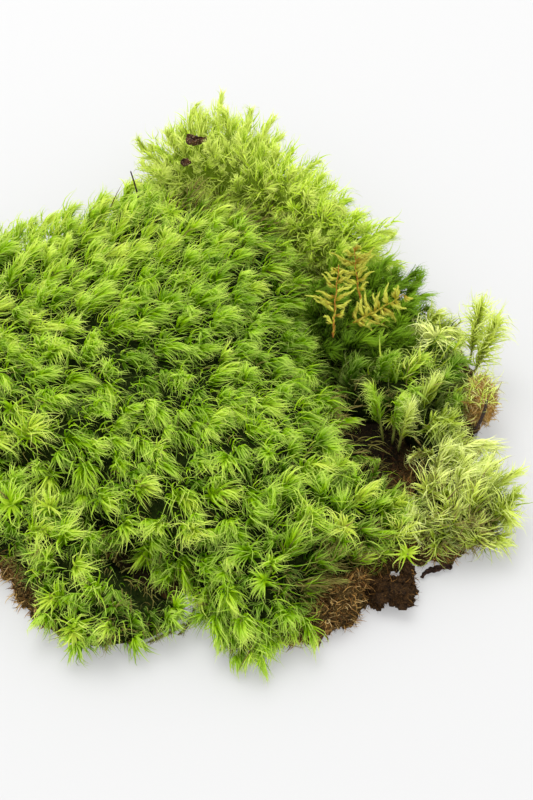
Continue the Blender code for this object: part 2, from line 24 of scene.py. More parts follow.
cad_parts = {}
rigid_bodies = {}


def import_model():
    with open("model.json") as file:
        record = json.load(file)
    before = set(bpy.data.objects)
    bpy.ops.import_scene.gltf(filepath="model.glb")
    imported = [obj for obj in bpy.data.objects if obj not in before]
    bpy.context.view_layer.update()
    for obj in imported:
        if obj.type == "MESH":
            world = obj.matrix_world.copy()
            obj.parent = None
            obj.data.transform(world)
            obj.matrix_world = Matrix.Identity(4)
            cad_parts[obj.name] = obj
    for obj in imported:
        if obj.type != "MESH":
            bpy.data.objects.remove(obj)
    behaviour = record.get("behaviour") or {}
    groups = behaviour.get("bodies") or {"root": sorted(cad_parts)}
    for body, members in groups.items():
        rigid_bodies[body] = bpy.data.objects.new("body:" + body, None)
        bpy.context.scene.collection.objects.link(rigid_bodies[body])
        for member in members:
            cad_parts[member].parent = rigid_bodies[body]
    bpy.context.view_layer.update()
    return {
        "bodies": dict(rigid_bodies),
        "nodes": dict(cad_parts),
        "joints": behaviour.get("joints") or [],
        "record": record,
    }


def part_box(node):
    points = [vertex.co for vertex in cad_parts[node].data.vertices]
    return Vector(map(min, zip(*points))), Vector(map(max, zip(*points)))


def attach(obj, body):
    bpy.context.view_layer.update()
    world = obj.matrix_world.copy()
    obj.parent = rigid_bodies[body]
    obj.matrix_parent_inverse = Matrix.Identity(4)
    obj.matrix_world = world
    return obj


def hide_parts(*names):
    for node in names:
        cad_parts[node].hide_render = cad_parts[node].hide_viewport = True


logging.basicConfig(level=logging.INFO, format="%(message)s")
LOG = logging.getLogger("moss_clump")

Array = np.ndarray
Random = np.random.Generator
Triple = tuple[float, float, float]
Mesh = bpy.types.Mesh
Node = bpy.types.Node
Socket = bpy.types.NodeSocket
Tree = bpy.types.ShaderNodeTree
Feed = Union[float, tuple, Socket]

MM = 0.001
BODY = "root"
UP = np.array([0.0, 0.0, 1.0])
GOLDEN_ANGLE = math.pi * (3.0 - math.sqrt(5.0))
MERGE_DISTANCE = 2e-6
MOST_FACES = 190000
NOISE_WAVES = 7
NEIGHBOURS = 7

# The leaves' own map holds the tint across and the share of the length along, off its edges.
LEAF_MAP = "OFBake"
MAP_RANGE = (0.004, 0.996)

# The breadths of a leaf's parts from root to tip, as shares of its widest breadth.
LONG_LEAF = (1.0, 0.90, 0.58, 0.34, 0.19)
SHORT_LEAF = (1.0, 0.84, 0.50, 0.26)
BRANCH_LEAF = (0.7, 1.0, 0.75, 0.38)
FIBRE = (0.8, 1.0, 0.9, 0.6)

# How far the wave of a leaf turns along it, in radians, and the tints of dead leaves.
WAVE_TURN = 5.2
OLD_TINTS = (0.02, 0.2)

# The least height of leaves and of crumbs and bark, which keeps them off the ground.
LEAST_HEIGHT = 0.15 * MM
LEAST_CLEARANCE = 0.05 * MM

# A shoot in its lobe's solid: the edges at its tip and round it, and the reach of a full hook.
TIP_EDGES = range(3, 10)
RING_EDGES = 5
HOOK_LENGTH = 2.5 * MM

# The leaves of second shoots against leading ones', and the shoots that bare spots lose.
SECOND_LEAVES = 0.65
LEADING_LOSS = 0.45
LESSER_LOSS = 0.8

# Open gaps in the moss, how close moss covers the duff, and how the thatch is drawn in.
GAP_RADIUS_MM = 4.2
COVER_REACH = 3.0 * MM
THATCH_DEPTH_MM = 4.0
THATCH_ROUNDS = 3
FROND_SHIFT = (-0.6, 6.87, 0.0)

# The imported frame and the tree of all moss, filled in by main.
FRAME: dict = {}
COVER: list[BVHTree] = []


class Slot(Enum):
    """The record's material slots, passed along with the new pieces."""

    GREEN_MOSS = "green_moss"
    PALE_MOSS = "pale_moss"
    DARK_MOSS = "dark_moss"
    GOLDEN_MOSS = "golden_moss"
    DUFF = "duff"
    SOIL = "soil"
    ROOTING_FELT = "rooting_felt"
    DARK_LITTER = "dark_litter"
    DEAD_LEAF = "dead_leaf"
    DEAD_STEM = "dead_stem"


def unit(vectors: Array) -> Array:
    """Return vectors, which stand in the last axis, scaled to length one."""
    return vectors / np.maximum(np.linalg.norm(vectors, axis=-1, keepdims=True), 1e-12)


def capped(vectors: Array) -> Array:
    """Return vectors, one a row, of which those longer than one are scaled to one."""
    return vectors / np.maximum(np.linalg.norm(vectors, axis=1, keepdims=True), 1.0)


def across(vectors: Array) -> tuple[Array, Array]:
    """Return two unit vectors that stand square to each vector and to each other.

    Args:
        vectors: unit vectors, one a row.

    Returns:
        The two vectors for each row.
    """
    helper = np.where(np.abs(vectors[:, 2:3]) > 0.9, [[1.0, 0.0, 0.0]], [[0.0, 0.0, 1.0]])
    first = unit(np.cross(vectors, helper))
    return first, np.cross(vectors, first)


def value_noise(points: Array, scale: float, seed: int) -> Array:
    """Return a smooth random value from -1 to 1 at each point.

    Args:
        points: places, one a row.
        scale: distance over which the value changes.
        seed: which of the fields of values is read.

    Returns:
        One value for each point.
    """
    random = np.random.default_rng(seed)
    total = np.zeros(len(points))
    for _ in range(NOISE_WAVES):
        wave = random.normal(size=3) / scale
        total += np.sin(points @ wave * math.tau * 0.35 + random.uniform(0, math.tau))
    return np.clip(total / 3.2, -1.0, 1.0)


def nearest(points: Array, places: Array, count: int) -> Array:
    """Return the numbers of the points nearest to each place.

    Args:
        points: the points to choose from.
        places: where to look from.
        count: how many points are wanted at each place.

    Returns:
        The points' numbers, a row for each place.
    """
    tree = KDTree(len(points))
    for k, point in enumerate(points):
        tree.insert(point, k)
    tree.balance()
    return np.array([[k for _, k, _ in tree.find_n(place, count)] for place in places])


def smoothed(places: Array, values: Array) -> Array:
    """Return values averaged over each place's nearest neighbours.

    Args:
        places: where the values stand.
        values: one vector for each place.

    Returns:
        The averaged vectors.
    """
    near = nearest(places, places, min(NEIGHBOURS, len(places)))
    return np.array([values[group].mean(axis=0) for group in near])


def ways_and_areas(corners: Array) -> tuple[Array, Array]:
    """Return triangles' unit normals and twice their areas.

    Args:
        corners: the three corners of each triangle.

    Returns:
        The normals and the doubled areas.
    """
    normal = np.cross(corners[:, 1] - corners[:, 0], corners[:, 2] - corners[:, 0])
    return unit(normal), np.linalg.norm(normal, axis=1)


def scatter(corners: Array, ways: Array, area: Array, density: float, random: Random) -> tuple[Array, Array]:
    """Return places scattered evenly over triangles, and the ways outwards there.

    Args:
        corners: the three corners of each triangle.
        ways: the triangles' unit normals.
        area: twice their areas, or 0 where nothing may go.
        density: how many places for each square millimetre.
        random: the source of the places.

    Returns:
        The points and the unit normals.
    """
    count = int(density * area.sum() / 2 / MM ** 2)
    chosen = random.choice(len(area), size=count, p=area / area.sum())
    u, v = random.random((2, count, 1))
    over = (u + v) > 1
    u, v = np.where(over, 1 - u, u), np.where(over, 1 - v, v)
    base = corners[chosen]
    places = base[:, 0] + u * (base[:, 1] - base[:, 0]) + v * (base[:, 2] - base[:, 0])
    return places, ways[chosen]


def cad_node(name: str) -> bpy.types.Object:
    """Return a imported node's object."""
    return FRAME["nodes"][name]


def mesh_points(mesh: Mesh) -> Array:
    """Return a mesh's points."""
    return np.array([v.co[:] for v in mesh.vertices])


def mesh_normals(mesh: Mesh) -> Array:
    """Return the normals at a mesh's points."""
    return np.array([v.normal[:] for v in mesh.vertices])


def set_points(mesh: Mesh, points: Array) -> None:
    """Move a mesh's points."""
    mesh.vertices.foreach_set("co", points.astype(np.float32).ravel())


def refined(node: str, cuts: int, smoothing: int = 0) -> Mesh:
    """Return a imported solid's mesh, merged, cut finer and smoothed in edit mode.

    Args:
        node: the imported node.
        cuts: how many cuts each edge gets.
        smoothing: how often the points are smoothed.

    Returns:
        The new mesh.
    """
    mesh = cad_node(node).data.copy()
    shaped = bpy.data.objects.new("shaped", mesh)
    bpy.context.scene.collection.objects.link(shaped)
    bpy.ops.object.select_all(action="DESELECT")
    bpy.context.view_layer.objects.active = shaped
    shaped.select_set(True)
    bpy.ops.object.mode_set(mode="EDIT")
    bpy.ops.mesh.select_all(action="SELECT")
    bpy.ops.mesh.remove_doubles(threshold=MERGE_DISTANCE)
    bpy.ops.mesh.subdivide(number_cuts=cuts)
    if smoothing:
        bpy.ops.mesh.vertices_smooth(factor=0.5, repeat=smoothing)
    bpy.ops.mesh.normals_make_consistent(inside=False)
    bpy.ops.object.mode_set(mode="OBJECT")
    bpy.data.objects.remove(shaped)
    return mesh


@dataclass
class Graph:
    """A shader node tree, with short ways to add nodes and to feed them."""

    tree: Tree

    def feed(self, node: Node, inputs: dict[str | int, Feed]) -> Node:
        """Set or link a node's inputs.

        Args:
            node: the node.
            inputs: a value, or the socket that feeds it, for each input's name or number.

        Returns:
            The node.
        """
        for name, value in inputs.items():
            if isinstance(value, Socket):
                self.tree.links.new(value, node.inputs[name])
            else:
                node.inputs[name].default_value = value
        return node

    def add(self, kind: str, inputs: dict[str | int, Feed] | None = None) -> Node:
        """Return a new node of a kind of shader node, with its inputs fed."""
        return self.feed(self.tree.nodes.new(f"ShaderNode{kind}"), inputs or {})

    def group(self, group: Tree, inputs: dict[str | int, Feed]) -> Node:
        """Return a new node that holds a node group.

        Args:
            group: the node group.
            inputs: a value, or the socket that feeds it, for each input's name.

        Returns:
            The node.
        """
        node = self.add("Group")
        node.node_tree = group
        return self.feed(node, inputs)

    def mapped(
        self, value: Feed, start: Feed = 0.0, stop: Feed = 1.0, low: Feed = 0.0, high: Feed = 1.0
    ) -> Socket:
        """Return a value that goes from low to high while another goes from start to stop.

        Args:
            value: the value that is read.
            start: where its range starts.
            stop: where its range stops.
            low: the result at the start.
            high: the result at the stop.

        Returns:
            The result's socket.
        """
        inputs = {"Value": value, "From Min": start, "From Max": stop, "To Min": low, "To Max": high}
        return self.add("MapRange", inputs).outputs["Result"]

    def mixed(self, share: Feed, first: Feed, second: Feed, blend: str = "MIX") -> Socket:
        """Return the mix of two colours.

        Args:
            share: how much the second colour counts.
            first: the first colour.
            second: the second colour.
            blend: the way of blending.

        Returns:
            The mixed colour's socket.
        """
        node = self.add("Mix")
        node.data_type = "RGBA"
        node.blend_type = blend
        return self.feed(node, {"Factor": share, "A": first, "B": second}).outputs["Result"]

    def product(self, first: Feed, second: Feed) -> Socket:
        """Return the product of two values.

        Args:
            first: the first value.
            second: the second value.

        Returns:
            The product's socket.
        """
        node = self.add("Math", {0: first, 1: second})
        node.operation = "MULTIPLY"
        return node.outputs[0]


def new_group(name: str, inputs: dict[str, str], outputs: dict[str, str]) -> Tree:
    """Return a new shader node group with its sockets and its group input and output nodes.

    Args:
        name: the group's name.
        inputs: each input's name and its kind, Color, Float or Vector.
        outputs: each output's name and its kind.

    Returns:
        The group, with nodes named input and output.
    """
    group = bpy.data.node_groups.new(name, "ShaderNodeTree")
    for sockets, direction in ((inputs, "INPUT"), (outputs, "OUTPUT")):
        for socket, kind in sockets.items():
            group.interface.new_socket(name=socket, in_out=direction, socket_type=f"NodeSocket{kind}")
    group.nodes.new("NodeGroupInput").name = "input"
    group.nodes.new("NodeGroupOutput").name = "output"
    return group


def leaf_shading() -> Tree:
    """Return the group that darkens a leaf at its root, partly its own darker base and partly painted shade
    deep in the tuft, and pales it to its tip.

    Returns:
        The node group, which is built once.
    """
    if "leaf_shading" in bpy.data.node_groups:
        return bpy.data.node_groups["leaf_shading"]
    inputs = {
        "Colour": "Color", "Tint": "Float", "Along": "Float", "Root shade": "Float", "Tip colour": "Color",
        "Tip share": "Float",
    }
    group = new_group("leaf_shading", inputs, {"Colour": "Color"})
    given = group.nodes["input"].outputs
    graph = Graph(group)
    # Partly painted shade: the root is darkened where it stands deep in the tuft.
    shade = graph.mapped(given["Along"], stop=0.45, low=given["Root shade"])
    dark = graph.mixed(1.0, given["Colour"], shade, "MULTIPLY")
    pale = graph.mapped(given["Along"], start=0.3, high=given["Tip share"])
    tipped = graph.mixed(graph.product(pale, given["Tint"]), dark, given["Tip colour"])
    graph.feed(group.nodes["output"], {"Colour": tipped})
    return group


def earth_mottle() -> Tree:
    """Return the group of mottled colour, grain height and roughness of dead matter.

    Returns:
        The node group, which is built once.
    """
    if "earth_mottle" in bpy.data.node_groups:
        return bpy.data.node_groups["earth_mottle"]
    inputs = {"Vector": "Vector", "Grain": "Float", "Dark": "Color", "Light": "Color", "Fleck": "Color"}
    group = new_group("earth_mottle", inputs, {"Colour": "Color", "Height": "Float", "Roughness": "Float"})
    given = group.nodes["input"].outputs
    graph = Graph(group)
    noise = {"Vector": given["Vector"], "Scale": given["Grain"], "Detail": 9.0, "Roughness": 0.72}
    mottle = graph.add("TexNoise", noise).outputs["Fac"]
    colour = graph.mixed(graph.mapped(mottle, 0.36, 0.66), given["Dark"], given["Light"])
    finer = graph.product(given["Grain"], 2.3)
    flecks = graph.add("TexVoronoi", {"Vector": given["Vector"], "Scale": finer}).outputs["Distance"]
    colour = graph.mixed(graph.mapped(flecks, 0.16, 0.30, 0.55, 0.0), colour, given["Fleck"])
    dull = graph.mapped(mottle, low=0.72, high=0.98)
    graph.feed(group.nodes["output"], {"Colour": colour, "Height": mottle, "Roughness": dull})
    return group


@dataclass(frozen=True)
class Spot:
    """A round place on the clump, seen from above, and how strongly it counts."""

    x_mm: float
    y_mm: float
    radius_mm: float
    value: float = 1.0

    def share(self, places: Array) -> Array:
        """Return the spot's value at each place, fading to nothing at the spot's edge."""
        away = np.hypot(places[:, 0] - self.x_mm * MM, places[:, 1] - self.y_mm * MM)
        return self.value * np.clip((self.radius_mm * MM - away) / (0.45 * self.radius_mm * MM), 0.0, 1.0)


def spots(*rows: tuple[float, ...]) -> tuple[Spot, ...]:
    """Return spots from rows of x, y, radius and, where it isn't one, value."""
    return tuple(Spot(*row) for row in rows)


def spot_total(among: tuple[Spot, ...], places: Array) -> Array:
    """Return the strongest of some spots at each place.

    Args:
        among: the spots, whose values have one sign.
        places: points, one a row.

    Returns:
        One value for each point.
    """
    total = np.zeros(len(places))
    for spot in among:
        value = spot.share(places)
        total = np.where(np.abs(value) > np.abs(total), value, total)
    return total


@dataclass(frozen=True)
class Combing:
    """A part of the clump, seen from above, whose leaves are all swept one way."""

    spot: Spot
    way: Triple


ROSETTES = spots(
    (-46.9, -64.8, 8.0, 0.8), (-37.3, -62.3, 7.0, 0.6), (-24.2, -68.7, 7.0, 0.7), (-25.0, -99.7, 8.0, 0.8),
    (57.7, -68.9, 6.0, 1.0), (88.5, -46.0, 8.0, 0.5), (94.0, -60.0, 8.0, 0.4),
)
BARE_SPOTS = spots(
    (31.0, 68.0, 6.0, 0.4), (34.0, 60.5, 6.0, 0.8), (4.1, 67.4, 7.0, 1.0), (10.0, 66.5, 7.0, 1.0),
    (16.8, 63.4, 7.0, 1.0), (24.1, 61.4, 7.0, 0.9), (32.0, 58.4, 6.0, 0.8), (-13.4, -75.1, 9.0, 1.2),
    (-5.6, -88.0, 9.0, 1.2), (-6.9, -60.5, 5.0, 0.6), (66.0, -19.0, 12.0, 2.4), (68.1, -29.4, 13.0, 2.6),
    (70.4, -40.3, 10.0, 2.0), (78.5, -33.2, 10.0, 1.6), (80.5, -26.0, 9.0, 1.2), (80.0, -43.0, 9.0, 1.4),
    (108.0, -33.0, 9.0, 1.8),
)
OLIVE_SPOTS = spots(
    (48.3, -84.7, 13.0, 0.75), (57.8, -80.7, 12.0, 0.8), (67.4, -77.7, 12.0, 0.75), (77.8, -72.7, 10.0, 0.5),
    (91.8, -67.7, 12.0, 0.5), (100.8, -64.7, 10.0, 0.5), (84.8, -47.8, 9.0, 0.3), (-45.2, -79.7, 10.0, 0.35),
    (-15.2, -93.7, 10.0, 0.3), (29.8, 65.3, 14.0, 0.35), (42.0, 44.0, 20.0, 0.22),
)
CLAW_SPOTS = spots(
    (-34.4, -76.9, 34.0, 0.9), (-46.4, -48.9, 34.0, 0.8), (13.6, -70.9, 30.0, 0.6), (55.6, -66.9, 26.0, 0.8),
)
# Places where the moss is darker: partly darker, olive moss, partly painted shade by the hollow and the
# notch, in the right lobe's gaps and on its rim.
DARKER_AND_SHADED_SPOTS = spots(
    (47.6, 14.8, 13.0, -0.24), (56.9, -1.9, 13.0, -0.28), (61.6, -11.9, 12.0, -0.34),
    (69.6, -15.9, 12.0, -0.34), (-13.4, -74.9, 9.0, -0.2), (-5.6, -87.9, 9.0, -0.25),
    (93.6, -65.9, 9.0, -0.25), (83.6, -66.9, 9.0, -0.25), (112.0, -58.0, 18.0, -0.2),
    (104.0, -66.0, 14.0, -0.2), (90.0, -19.0, 12.0, -0.34), (96.0, -6.0, 14.0, -0.22),
)
GREEN_SPOTS = spots((91.0, -4.0, 15.0, 0.8), (61.0, -8.0, 22.0), (74.0, -12.0, 18.0), (60.0, -60.0, 18.0))
GAPPY_SPOTS = spots((-44.0, -34.0, 60.0, 0.8), (10.0, -52.0, 55.0, 0.8), (-30.0, -80.0, 40.0, 0.8))
# Crevices between the ridge and the main cushion, where the ridge's thatch is darkened: painted shade.
CREVICE_SHADE_SPOTS = spots((4.0, 64.0, 13.0, 0.9), (18.0, 61.0, 13.0, 0.9), (32.0, 57.0, 13.0, 0.9))
# The deep hollow and the notch in front, where the duff and its fibres are darkened: painted shade.
DEEP_SHADE_SPOTS = spots((68.0, -25.0, 23.0, 0.9), (-6.0, -70.0, 16.0, 0.85), (-6.0, -86.0, 11.0, 0.8))
BUSY_SPOTS = spots((50.0, -92.0, 34.0), (78.0, -42.0, 18.0), (-62.0, -84.0, 30.0), (92.0, -68.0, 18.0))
# Places where the moss is lighter: painted light on the back and left, which face the softbox, and paler
# tufts in front.
LIGHTER_AND_LIT_SPOTS = spots(
    (-55.2, 47.2, 75.0, 0.12), (14.8, 77.3, 40.0, 0.08), (57.7, -68.9, 9.0, 0.08), (-37.2, -72.7, 26.0, 0.05),
)
COMBINGS = (
    Combing(Spot(56.6, -68.9, 34.0, 0.9), (0.55, 0.55, 0.45)),
    Combing(Spot(41.6, -50.9, 20.0, 0.6), (0.6, 0.3, 0.3)),
    Combing(Spot(23.6, 106.1, 40.0, 0.9), (0.05, 0.75, 0.3)),
    Combing(Spot(-16.4, 41.1, 46.0, 0.6), (0.85, 0.4, 0.2)),
    Combing(Spot(99.6, -56.9, 34.0, 0.6), (0.6, 0.5, 0.45)),
    Combing(Spot(66.6, 23.1, 30.0, 0.9), (0.8, 0.25, 0.1)),
)


def combed(comb: Array, places: Array) -> Array:
    """Return the ways in which shoots are combed, turned to the sweep of their part of the clump.

    Args:
        comb: each shoot's own way.
        places: where each stands.

    Returns:
        The turned ways.
    """
    for combing in COMBINGS:
        share = combing.spot.share(places)[:, None]
        comb = comb * (1 - share) + np.array(combing.way) * share
    return comb


@dataclass(frozen=True)
class Finish:
    """A finish, which is made as a material on its first use."""

    name: str

    def material(self) -> bpy.types.Material:
        """Return the finish as a material.

        Returns:
            The material, which is named apart from the record's own.
        """
        label = f"{self.name}_finish"
        if label not in bpy.data.materials:
            material = bpy.data.materials.new(label)
            material.use_nodes = True
            self.draw(Graph(material.node_tree))
        return bpy.data.materials[label]

    def draw(self, graph: Graph) -> None:
        """Draw the finish as nodes, each kind of finish in its own way."""
        raise NotImplementedError


@dataclass(frozen=True)
class LeafFinish(Finish):
    """The finish of thin leaves or fibres: colours along a scale, read from each leaf's own map."""

    scale: tuple[tuple[float, Triple], ...]
    root_shade: float
    tip_pale: Triple
    tip_share: float
    roughness: float
    glow: float
    specular: float

    def draw(self, graph: Graph) -> None:
        """Draw the finish on the leaves' map.

        Args:
            graph: the material's nodes.
        """
        graph.tree.nodes.clear()
        leaf_map = graph.add("UVMap")
        leaf_map.uv_map = LEAF_MAP
        place = graph.add("SeparateXYZ", {0: leaf_map.outputs["UV"]}).outputs
        scale = graph.add("ValToRGB", {"Fac": place["X"]})
        ramp = scale.color_ramp
        while len(ramp.elements) < len(self.scale):
            ramp.elements.new(0.5)
        for element, (position, colour) in zip(ramp.elements, self.scale):
            element.position = position
            element.color = (*colour, 1.0)
        colour = graph.group(leaf_shading(), {
            "Colour": scale.outputs["Color"], "Tint": place["X"], "Along": place["Y"],
            "Root shade": self.root_shade, "Tip colour": (*self.tip_pale, 1.0), "Tip share": self.tip_share,
        }).outputs["Colour"]
        leaf = graph.add("BsdfPrincipled", {
            "Base Color": colour, "Roughness": self.roughness, "Specular IOR Level": self.specular,
        })
        through = graph.add("BsdfTranslucent", {"Color": colour})
        shaders = {"Fac": self.glow, 1: leaf.outputs["BSDF"], 2: through.outputs["BSDF"]}
        graph.add("OutputMaterial", {"Surface": graph.add("MixShader", shaders).outputs["Shader"]})


@dataclass(frozen=True)
class EarthFinish(Finish):
    """A dull, mottled and crumbly finish, as of duff, soil, bark, stems and dead leaves."""

    dark: Triple
    light: Triple
    fleck: Triple
    grain_mm: float
    stretch: Triple = (1.0, 1.0, 1.0)
    relief_mm: float = 0.5
    specular: float = 0.2
    shade_at: tuple[Spot, ...] = ()
    shade_height_mm: float = 8.0

    def draw(self, graph: Graph) -> None:
        """Draw the finish on object coordinates, darkened at its spots as painted shade.

        Args:
            graph: the material's nodes.
        """
        place = graph.add("TexCoord").outputs["Object"]
        mottle = graph.group(earth_mottle(), {
            "Vector": graph.add("Mapping", {"Vector": place, "Scale": self.stretch}).outputs["Vector"],
            "Grain": 1.0 / (self.grain_mm * MM), "Dark": (*self.dark, 1.0), "Light": (*self.light, 1.0),
            "Fleck": (*self.fleck, 1.0),
        }).outputs
        colour = mottle["Colour"]
        # Painted shade: the colour darkens towards the middle of each spot.
        for spot in self.shade_at:
            middle = (spot.x_mm * MM, spot.y_mm * MM, self.shade_height_mm * MM)
            away = graph.add("VectorMath", {0: place, 1: middle})
            away.operation = "DISTANCE"
            reach = spot.radius_mm * MM
            unshaded = graph.mapped(away.outputs["Value"], 0.5 * spot.radius_mm * MM, reach, 1.0 - spot.value)
            colour = graph.mixed(1.0, colour, unshaded, "MULTIPLY")
        relief = {"Strength": 0.8, "Distance": self.relief_mm * MM, "Height": mottle["Height"]}
        graph.feed(graph.tree.nodes["Principled BSDF"], {
            "Base Color": colour, "Roughness": mottle["Roughness"], "Specular IOR Level": self.specular,
            "Normal": graph.add("Bump", relief).outputs["Normal"],
        })


MOSS_STOPS = (0.0, 0.12, 0.26, 0.45, 0.62, 0.80, 1.0)
MOSS_SCALE = tuple(zip(MOSS_STOPS, (
    (0.080, 0.055, 0.014), (0.31, 0.26, 0.07), (0.028, 0.090, 0.002), (0.105, 0.255, 0.002),
    (0.230, 0.455, 0.003), (0.410, 0.670, 0.006), (0.700, 0.820, 0.090),
)))
PALE_SCALE = tuple(zip(MOSS_STOPS, (
    (0.085, 0.060, 0.018), (0.34, 0.28, 0.08), (0.070, 0.100, 0.008), (0.225, 0.330, 0.010),
    (0.435, 0.560, 0.026), (0.650, 0.760, 0.095), (0.800, 0.870, 0.260),
)))
RIDGE_SCALE = tuple(zip(MOSS_STOPS, (
    (0.085, 0.060, 0.018), (0.34, 0.28, 0.08), (0.080, 0.140, 0.006), (0.255, 0.455, 0.004),
    (0.400, 0.640, 0.006), (0.520, 0.720, 0.025), (0.660, 0.770, 0.130),
)))
DARK_SCALE = tuple(zip(MOSS_STOPS, (
    (0.085, 0.060, 0.018), (0.26, 0.20, 0.06), (0.024, 0.062, 0.002), (0.075, 0.165, 0.005),
    (0.160, 0.310, 0.010), (0.300, 0.500, 0.020), (0.520, 0.700, 0.070),
)))
GOLD_SCALE = (
    (0.00, (0.24, 0.10, 0.012)), (0.30, (0.36, 0.24, 0.016)), (0.60, (0.50, 0.48, 0.030)),
    (1.00, (0.68, 0.72, 0.090)),
)
FIBRE_SCALE = (
    (0.00, (0.022, 0.009, 0.004)), (0.30, (0.100, 0.042, 0.010)), (0.60, (0.290, 0.140, 0.030)),
    (0.85, (0.520, 0.320, 0.090)), (1.00, (0.700, 0.560, 0.280)),
)
GREEN_LEAVES = LeafFinish("green_leaves", MOSS_SCALE, 0.72, (0.79, 0.88, 0.25), 0.95, 0.55, 0.42, 0.08)
PALE_LEAVES = LeafFinish("pale_leaves", PALE_SCALE, 0.75, (0.77, 0.83, 0.38), 0.85, 0.55, 0.18, 0.08)
RIDGE_LEAVES = LeafFinish("ridge_leaves", RIDGE_SCALE, 0.85, (0.69, 0.78, 0.20), 0.85, 0.55, 0.14, 0.08)
DARK_LEAVES = LeafFinish("dark_leaves", DARK_SCALE, 0.6, (0.40, 0.62, 0.06), 0.7, 0.45, 0.40, 0.1)
GOLD_LEAVES = LeafFinish("gold_leaves", GOLD_SCALE, 0.75, (0.82, 0.84, 0.20), 0.7, 0.45, 0.36, 0.15)
FIBRES = LeafFinish("fibres", FIBRE_SCALE, 0.9, (0.60, 0.42, 0.20), 0.2, 0.8, 0.15, 0.1)
# The dead inside of a lobe, darkened nearly to black as painted shade in the gaps between the shoots.
SHADOW_THATCH = EarthFinish(
    "thatch", (0.003, 0.007, 0.001), (0.020, 0.032, 0.004), (0.06, 0.055, 0.015), 2.0, specular=0.05,
)
# A lighter copy of the thatch for the ridge, painted light, darkened in the crevices as painted shade.
LIT_THATCH = EarthFinish(
    "lit_thatch", (0.120, 0.185, 0.010), (0.270, 0.380, 0.030), (0.34, 0.38, 0.08), 1.4, specular=0.05,
    shade_at=CREVICE_SHADE_SPOTS, shade_height_mm=24.0,
)
DUFF = EarthFinish(
    "duff", (0.014, 0.008, 0.002), (0.125, 0.078, 0.022), (0.36, 0.23, 0.08), 1.6, relief_mm=1.2,
    specular=0.1, shade_at=DEEP_SHADE_SPOTS,
)
SOIL = EarthFinish(
    "soil", (0.003, 0.0015, 0.001), (0.060, 0.029, 0.009), (0.16, 0.085, 0.028), 1.2, relief_mm=1.2,
    specular=0.1,
)
FELT = EarthFinish(
    "rooting_felt", (0.16, 0.085, 0.014), (0.54, 0.34, 0.065), (0.68, 0.48, 0.15), 1.2, relief_mm=0.8,
)
RED_STEM = EarthFinish(
    "red_stem", (0.26, 0.075, 0.012), (0.46, 0.18, 0.025), (0.62, 0.38, 0.07), 0.9, relief_mm=0.1,
    specular=0.35,
)
OLIVE_STEM = EarthFinish(
    "olive_stem", (0.075, 0.070, 0.020), (0.22, 0.21, 0.07), (0.34, 0.30, 0.12), 0.9, relief_mm=0.15,
)
GREEN_STEM = EarthFinish(
    "green_stem", (0.12, 0.16, 0.02), (0.34, 0.36, 0.08), (0.46, 0.40, 0.14), 0.9, relief_mm=0.1,
)
DEAD_LEAF = EarthFinish(
    "dead_leaf", (0.006, 0.002, 0.0006), (0.115, 0.046, 0.012), (0.62, 0.46, 0.24), 1.5, relief_mm=0.8,
    specular=0.4,
)
BARK = EarthFinish(
    "bark", (0.006, 0.003, 0.002), (0.045, 0.020, 0.012), (0.13, 0.07, 0.04), 1.3, (0.35, 1.0, 1.0),
)
NEEDLE = EarthFinish(
    "needle", (0.008, 0.004, 0.003), (0.045, 0.020, 0.012), (0.09, 0.04, 0.02), 1.0, (1.0, 1.0, 0.3),
    relief_mm=0.08, specular=0.45,
)


def new_piece(node: str, part: str, mesh: Mesh, finish: Finish) -> None:
    """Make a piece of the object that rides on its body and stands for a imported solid.

    Args:
        node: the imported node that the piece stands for.
        part: which part of it the piece is, for its name.
        mesh: its finished mesh, in place.
        finish: its finish.
    """
    mesh.name = f"{node}_{part}"
    piece = bpy.data.objects.new(mesh.name, mesh)
    bpy.context.scene.collection.objects.link(piece)
    mesh.materials.clear()
    mesh.materials.append(finish.material())
    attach(piece, BODY)
    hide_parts(node)
    LOG.info("%s: %d triangles", piece.name, len(mesh.loops) - 2 * len(mesh.polygons))


